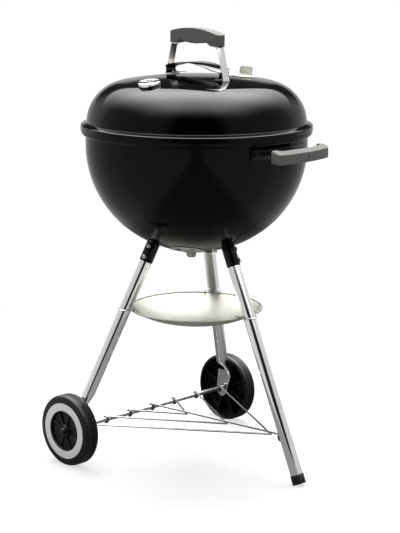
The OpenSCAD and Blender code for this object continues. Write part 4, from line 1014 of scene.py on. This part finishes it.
def studio_world(stage):
    """White to the camera and through glass, an even fill for matt surfaces, and panels for reflections.

    Reflections show a ring of soft panels, dark on the camera's side and low down behind the grill, under a
    bright canopy that is brightest overhead and a little behind.
    """
    world = bpy.data.worlds.new("studio")
    bpy.context.scene.world = world
    world.use_nodes = True
    world.node_tree.nodes.clear()
    tree = Tree(world.node_tree)
    towards = (math.sin(stage.azimuth), -math.cos(stage.azimuth), 0)
    way = tree.add("ShaderNodeTexCoord").outputs["Generated"]
    level = tree.vector("NORMALIZE", tree.vector("MULTIPLY", way, (1, 1, 0)))
    # 0 behind the grill and 1 on the camera's side, whatever the height
    round_about = tree.math("MULTIPLY_ADD", tree.vector("DOT_PRODUCT", level, towards), 0.5, 0.5)
    panels = tree.ramp(round_about, [(0.0, 0.65), (0.10, 0.75), (0.20, 0.9), (0.25, 0.9), (0.30, 0.65),
                                     (0.90, 0.65), (0.965, 0.01), (1.0, 0.01)])
    aside = tree.math("ABSOLUTE", tree.vector("DOT_PRODUCT", way, (towards[1], -towards[0], 0)))
    # 0 level towards the camera, 0.5 straight up and 1 level behind the grill
    up = tree.add("ShaderNodeSeparateXYZ", i0=way).outputs["Z"]
    over = tree.math("ARCTAN2", up, tree.vector("DOT_PRODUCT", way, towards))
    over = tree.math("DIVIDE", over, math.pi)
    canopy = tree.ramp(over, [(0.19, 0.0), (0.235, 0.012), (0.28, 0.06), (0.33, 0.25), (0.38, 0.49),
                              (0.43, 0.67), (0.49, 0.85), (0.55, 0.97), (0.61, 1.0), (0.71, 0.62),
                              (0.76, 0.33), (0.81, 0.2), (0.835, 0.2), (0.85, 0.0)])
    canopy = tree.math("MULTIPLY", canopy, tree.ease(aside, 0.25, 0.85, stage.canopy, 0.0))
    low = tree.ramp(over, [(0.0, 0.0), (0.78, 0.0), (0.83, 0.93), (0.935, 0.93), (0.955, 0.0)])
    dark = tree.math("MULTIPLY", low, tree.ease(aside, 0.35, 0.65, 1.0, 0.0))
    panels = tree.math("MULTIPLY", panels, tree.math("SUBTRACT", 1.0, dark))
    path = tree.add("ShaderNodeLightPath").outputs
    seen = tree.math("MAXIMUM", path["Is Camera Ray"], path["Is Transmission Ray"])
    studio = tree.white("Background", tree.math("ADD", panels, canopy))
    lit = tree.mix(path["Is Glossy Ray"], tree.white("Background", stage.fill), studio)
    tree.add("ShaderNodeOutputWorld", Surface=tree.mix(seen, lit, tree.white("Background", 1.0)))


def pale_floor(stage, behind):
    """A matt floor that keeps the grill's shadow, turns white further off and is darker in reflections."""
    mat, tree = new_material("pale_floor")
    where = tree.add("ShaderNodeTexCoord").outputs["Object"]
    path = tree.add("ShaderNodeLightPath").outputs
    matt = tree.add("ShaderNodeBsdfDiffuse", Color=(0.55, 0.55, 0.55, 1)).outputs[0]
    lift = tree.white("Emission", stage.floor_lift)
    lift = tree.mix(path["Is Camera Ray"], tree.white("Emission", 0.0), lift)
    ground = tree.add("ShaderNodeAddShader", i0=matt, i1=lift).outputs[0]
    back = tree.ease(tree.vector("DOT_PRODUCT", where, behind), 0.08, 0.28, 0.30, 0.18)
    aside = tree.math("ABSOLUTE", tree.vector("DOT_PRODUCT", where, (behind.y, -behind.x, 0)))
    mirrored = tree.white("Emission", tree.math("ADD", back, tree.ease(aside, 0.35, 0.6, 0.0, 0.45)))
    ground = tree.mix(path["Is Glossy Ray"], ground, mirrored)
    far = tree.ease(tree.vector("LENGTH", where), 0.45, 1.5, 0.0, 1.0)
    fade = tree.math("MULTIPLY", far, path["Is Camera Ray"])
    tree.add("ShaderNodeOutputMaterial", Surface=tree.mix(fade, ground, tree.white("Emission", 1.0)))
    return mat


def lay_floor(stage, behind):
    bm = bmesh.new()
    bmesh.ops.create_circle(bm, cap_ends=True, segments=96, radius=6.0)
    floor = raw_piece("floor", bm)
    floor.data.materials.append(pale_floor(stage, behind))
    floor.location.z = CAD_BOX[0][2]


def hang_lamp(stage, behind):
    """One wide soft lamp above and behind the grill, which no reflection shows."""
    lamp = bpy.data.lights.new("overhead", "AREA")
    wide, deep, above, back = 2.6, 1.8, 2.9, 0.9
    lamp.shape, lamp.size, lamp.size_y, lamp.energy = "RECTANGLE", wide, deep, stage.power
    obj = bpy.data.objects.new("overhead", lamp)
    bpy.context.scene.collection.objects.link(obj)
    lid_middle = Vector((AXIS_X, 0, 0.8))
    obj.location = Vector((AXIS_X, 0, above)) + behind * back
    obj.rotation_euler = (lid_middle - obj.location).to_track_quat("-Z", "Y").to_euler()
    obj.visible_camera = obj.visible_glossy = False


def place_camera(stage, towards):
    """A long lens that looks a little down on the kettle."""
    scene = bpy.context.scene
    right = Vector((math.cos(stage.azimuth), math.sin(stage.azimuth), 0))
    look = Matrix((right, Vector((0, 0, 1)), towards)).transposed()
    turn = (look @ Matrix.Rotation(stage.yaw, 3, "Y") @ Matrix.Rotation(-stage.pitch, 3, "X")
            @ Matrix.Rotation(stage.roll, 3, "Z"))
    place = Vector((AXIS_X, 0, 0)) + towards * stage.distance + Vector((0, 0, stage.height))
    camera = bpy.data.objects.new("camera", bpy.data.cameras.new("camera"))
    scene.collection.objects.link(camera)
    camera.data.sensor_fit = "VERTICAL"
    camera.data.sensor_height = 36
    camera.data.lens = stage.lens
    camera.matrix_world = Matrix.Translation(place) @ turn.to_4x4()
    scene.camera = camera


class GRILL_OT_stage(GrillOperator, bpy.types.Operator):
    """Set out the floor, the soft light and the camera"""
    bl_idname = "grill.stage"
    bl_label = "Stage"

    def execute(self, context):
        stage = context.scene.grill_stage
        behind = Vector((-math.sin(stage.azimuth), math.cos(stage.azimuth), 0))
        context.scene.view_settings.view_transform = "Standard"
        lay_floor(stage, behind)
        studio_world(stage)
        hang_lamp(stage, behind)
        place_camera(stage, -behind)
        return {"FINISHED"}


class GRILL_PT_panel(bpy.types.Panel):
    """Lists the grill's operators and settings"""
    bl_idname = "GRILL_PT_panel"
    bl_label = "Kettle grill"
    bl_space_type = "VIEW_3D"
    bl_region_type = "UI"
    bl_category = "Grill"

    def draw(self, context):
        for operator in OPERATORS:
            self.layout.operator(operator.bl_idname)
        for group in GROUPS:
            settings = getattr(context.scene, group)
            for name in settings.__annotations__:
                self.layout.prop(settings, name)


GROUPS = {"grill_shells": GrillShells, "grill_legs": GrillLegs, "grill_pan": GrillPan,
          "grill_wheels": GrillWheels, "grill_wires": GrillWires, "grill_dial": GrillDial,
          "grill_colours": GrillColours, "grill_stage": GrillStage}
OPERATORS = [GRILL_OT_finishes, GRILL_OT_bowl, GRILL_OT_lid, GRILL_OT_fittings, GRILL_OT_screws,
             GRILL_OT_handles, GRILL_OT_wheel_legs, GRILL_OT_ash_pan, GRILL_OT_wheels, GRILL_OT_grates,
             GRILL_OT_dial, GRILL_OT_stage]


def register():
    for cls in [*GROUPS.values(), *OPERATORS, GRILL_PT_panel]:
        bpy.utils.register_class(cls)
    for name, cls in GROUPS.items():
        setattr(bpy.types.Scene, name, PointerProperty(type=cls))


def unregister():
    for name in GROUPS:
        delattr(bpy.types.Scene, name)
    for cls in [GRILL_PT_panel, *reversed(OPERATORS), *reversed(GROUPS.values())]:
        bpy.utils.unregister_class(cls)


def main():
    register()
    bpy.ops.grill.finishes()
    bpy.ops.grill.bowl()
    bpy.ops.grill.lid()
    bpy.ops.grill.fittings()
    bpy.ops.grill.screws()
    bpy.ops.grill.handles()
    bpy.ops.grill.wheel_legs()
    bpy.ops.grill.ash_pan()
    bpy.ops.grill.wheels()
    bpy.ops.grill.grates()
    bpy.ops.grill.dial()
    bpy.ops.grill.stage()


if __name__ == "__main__":
    main()
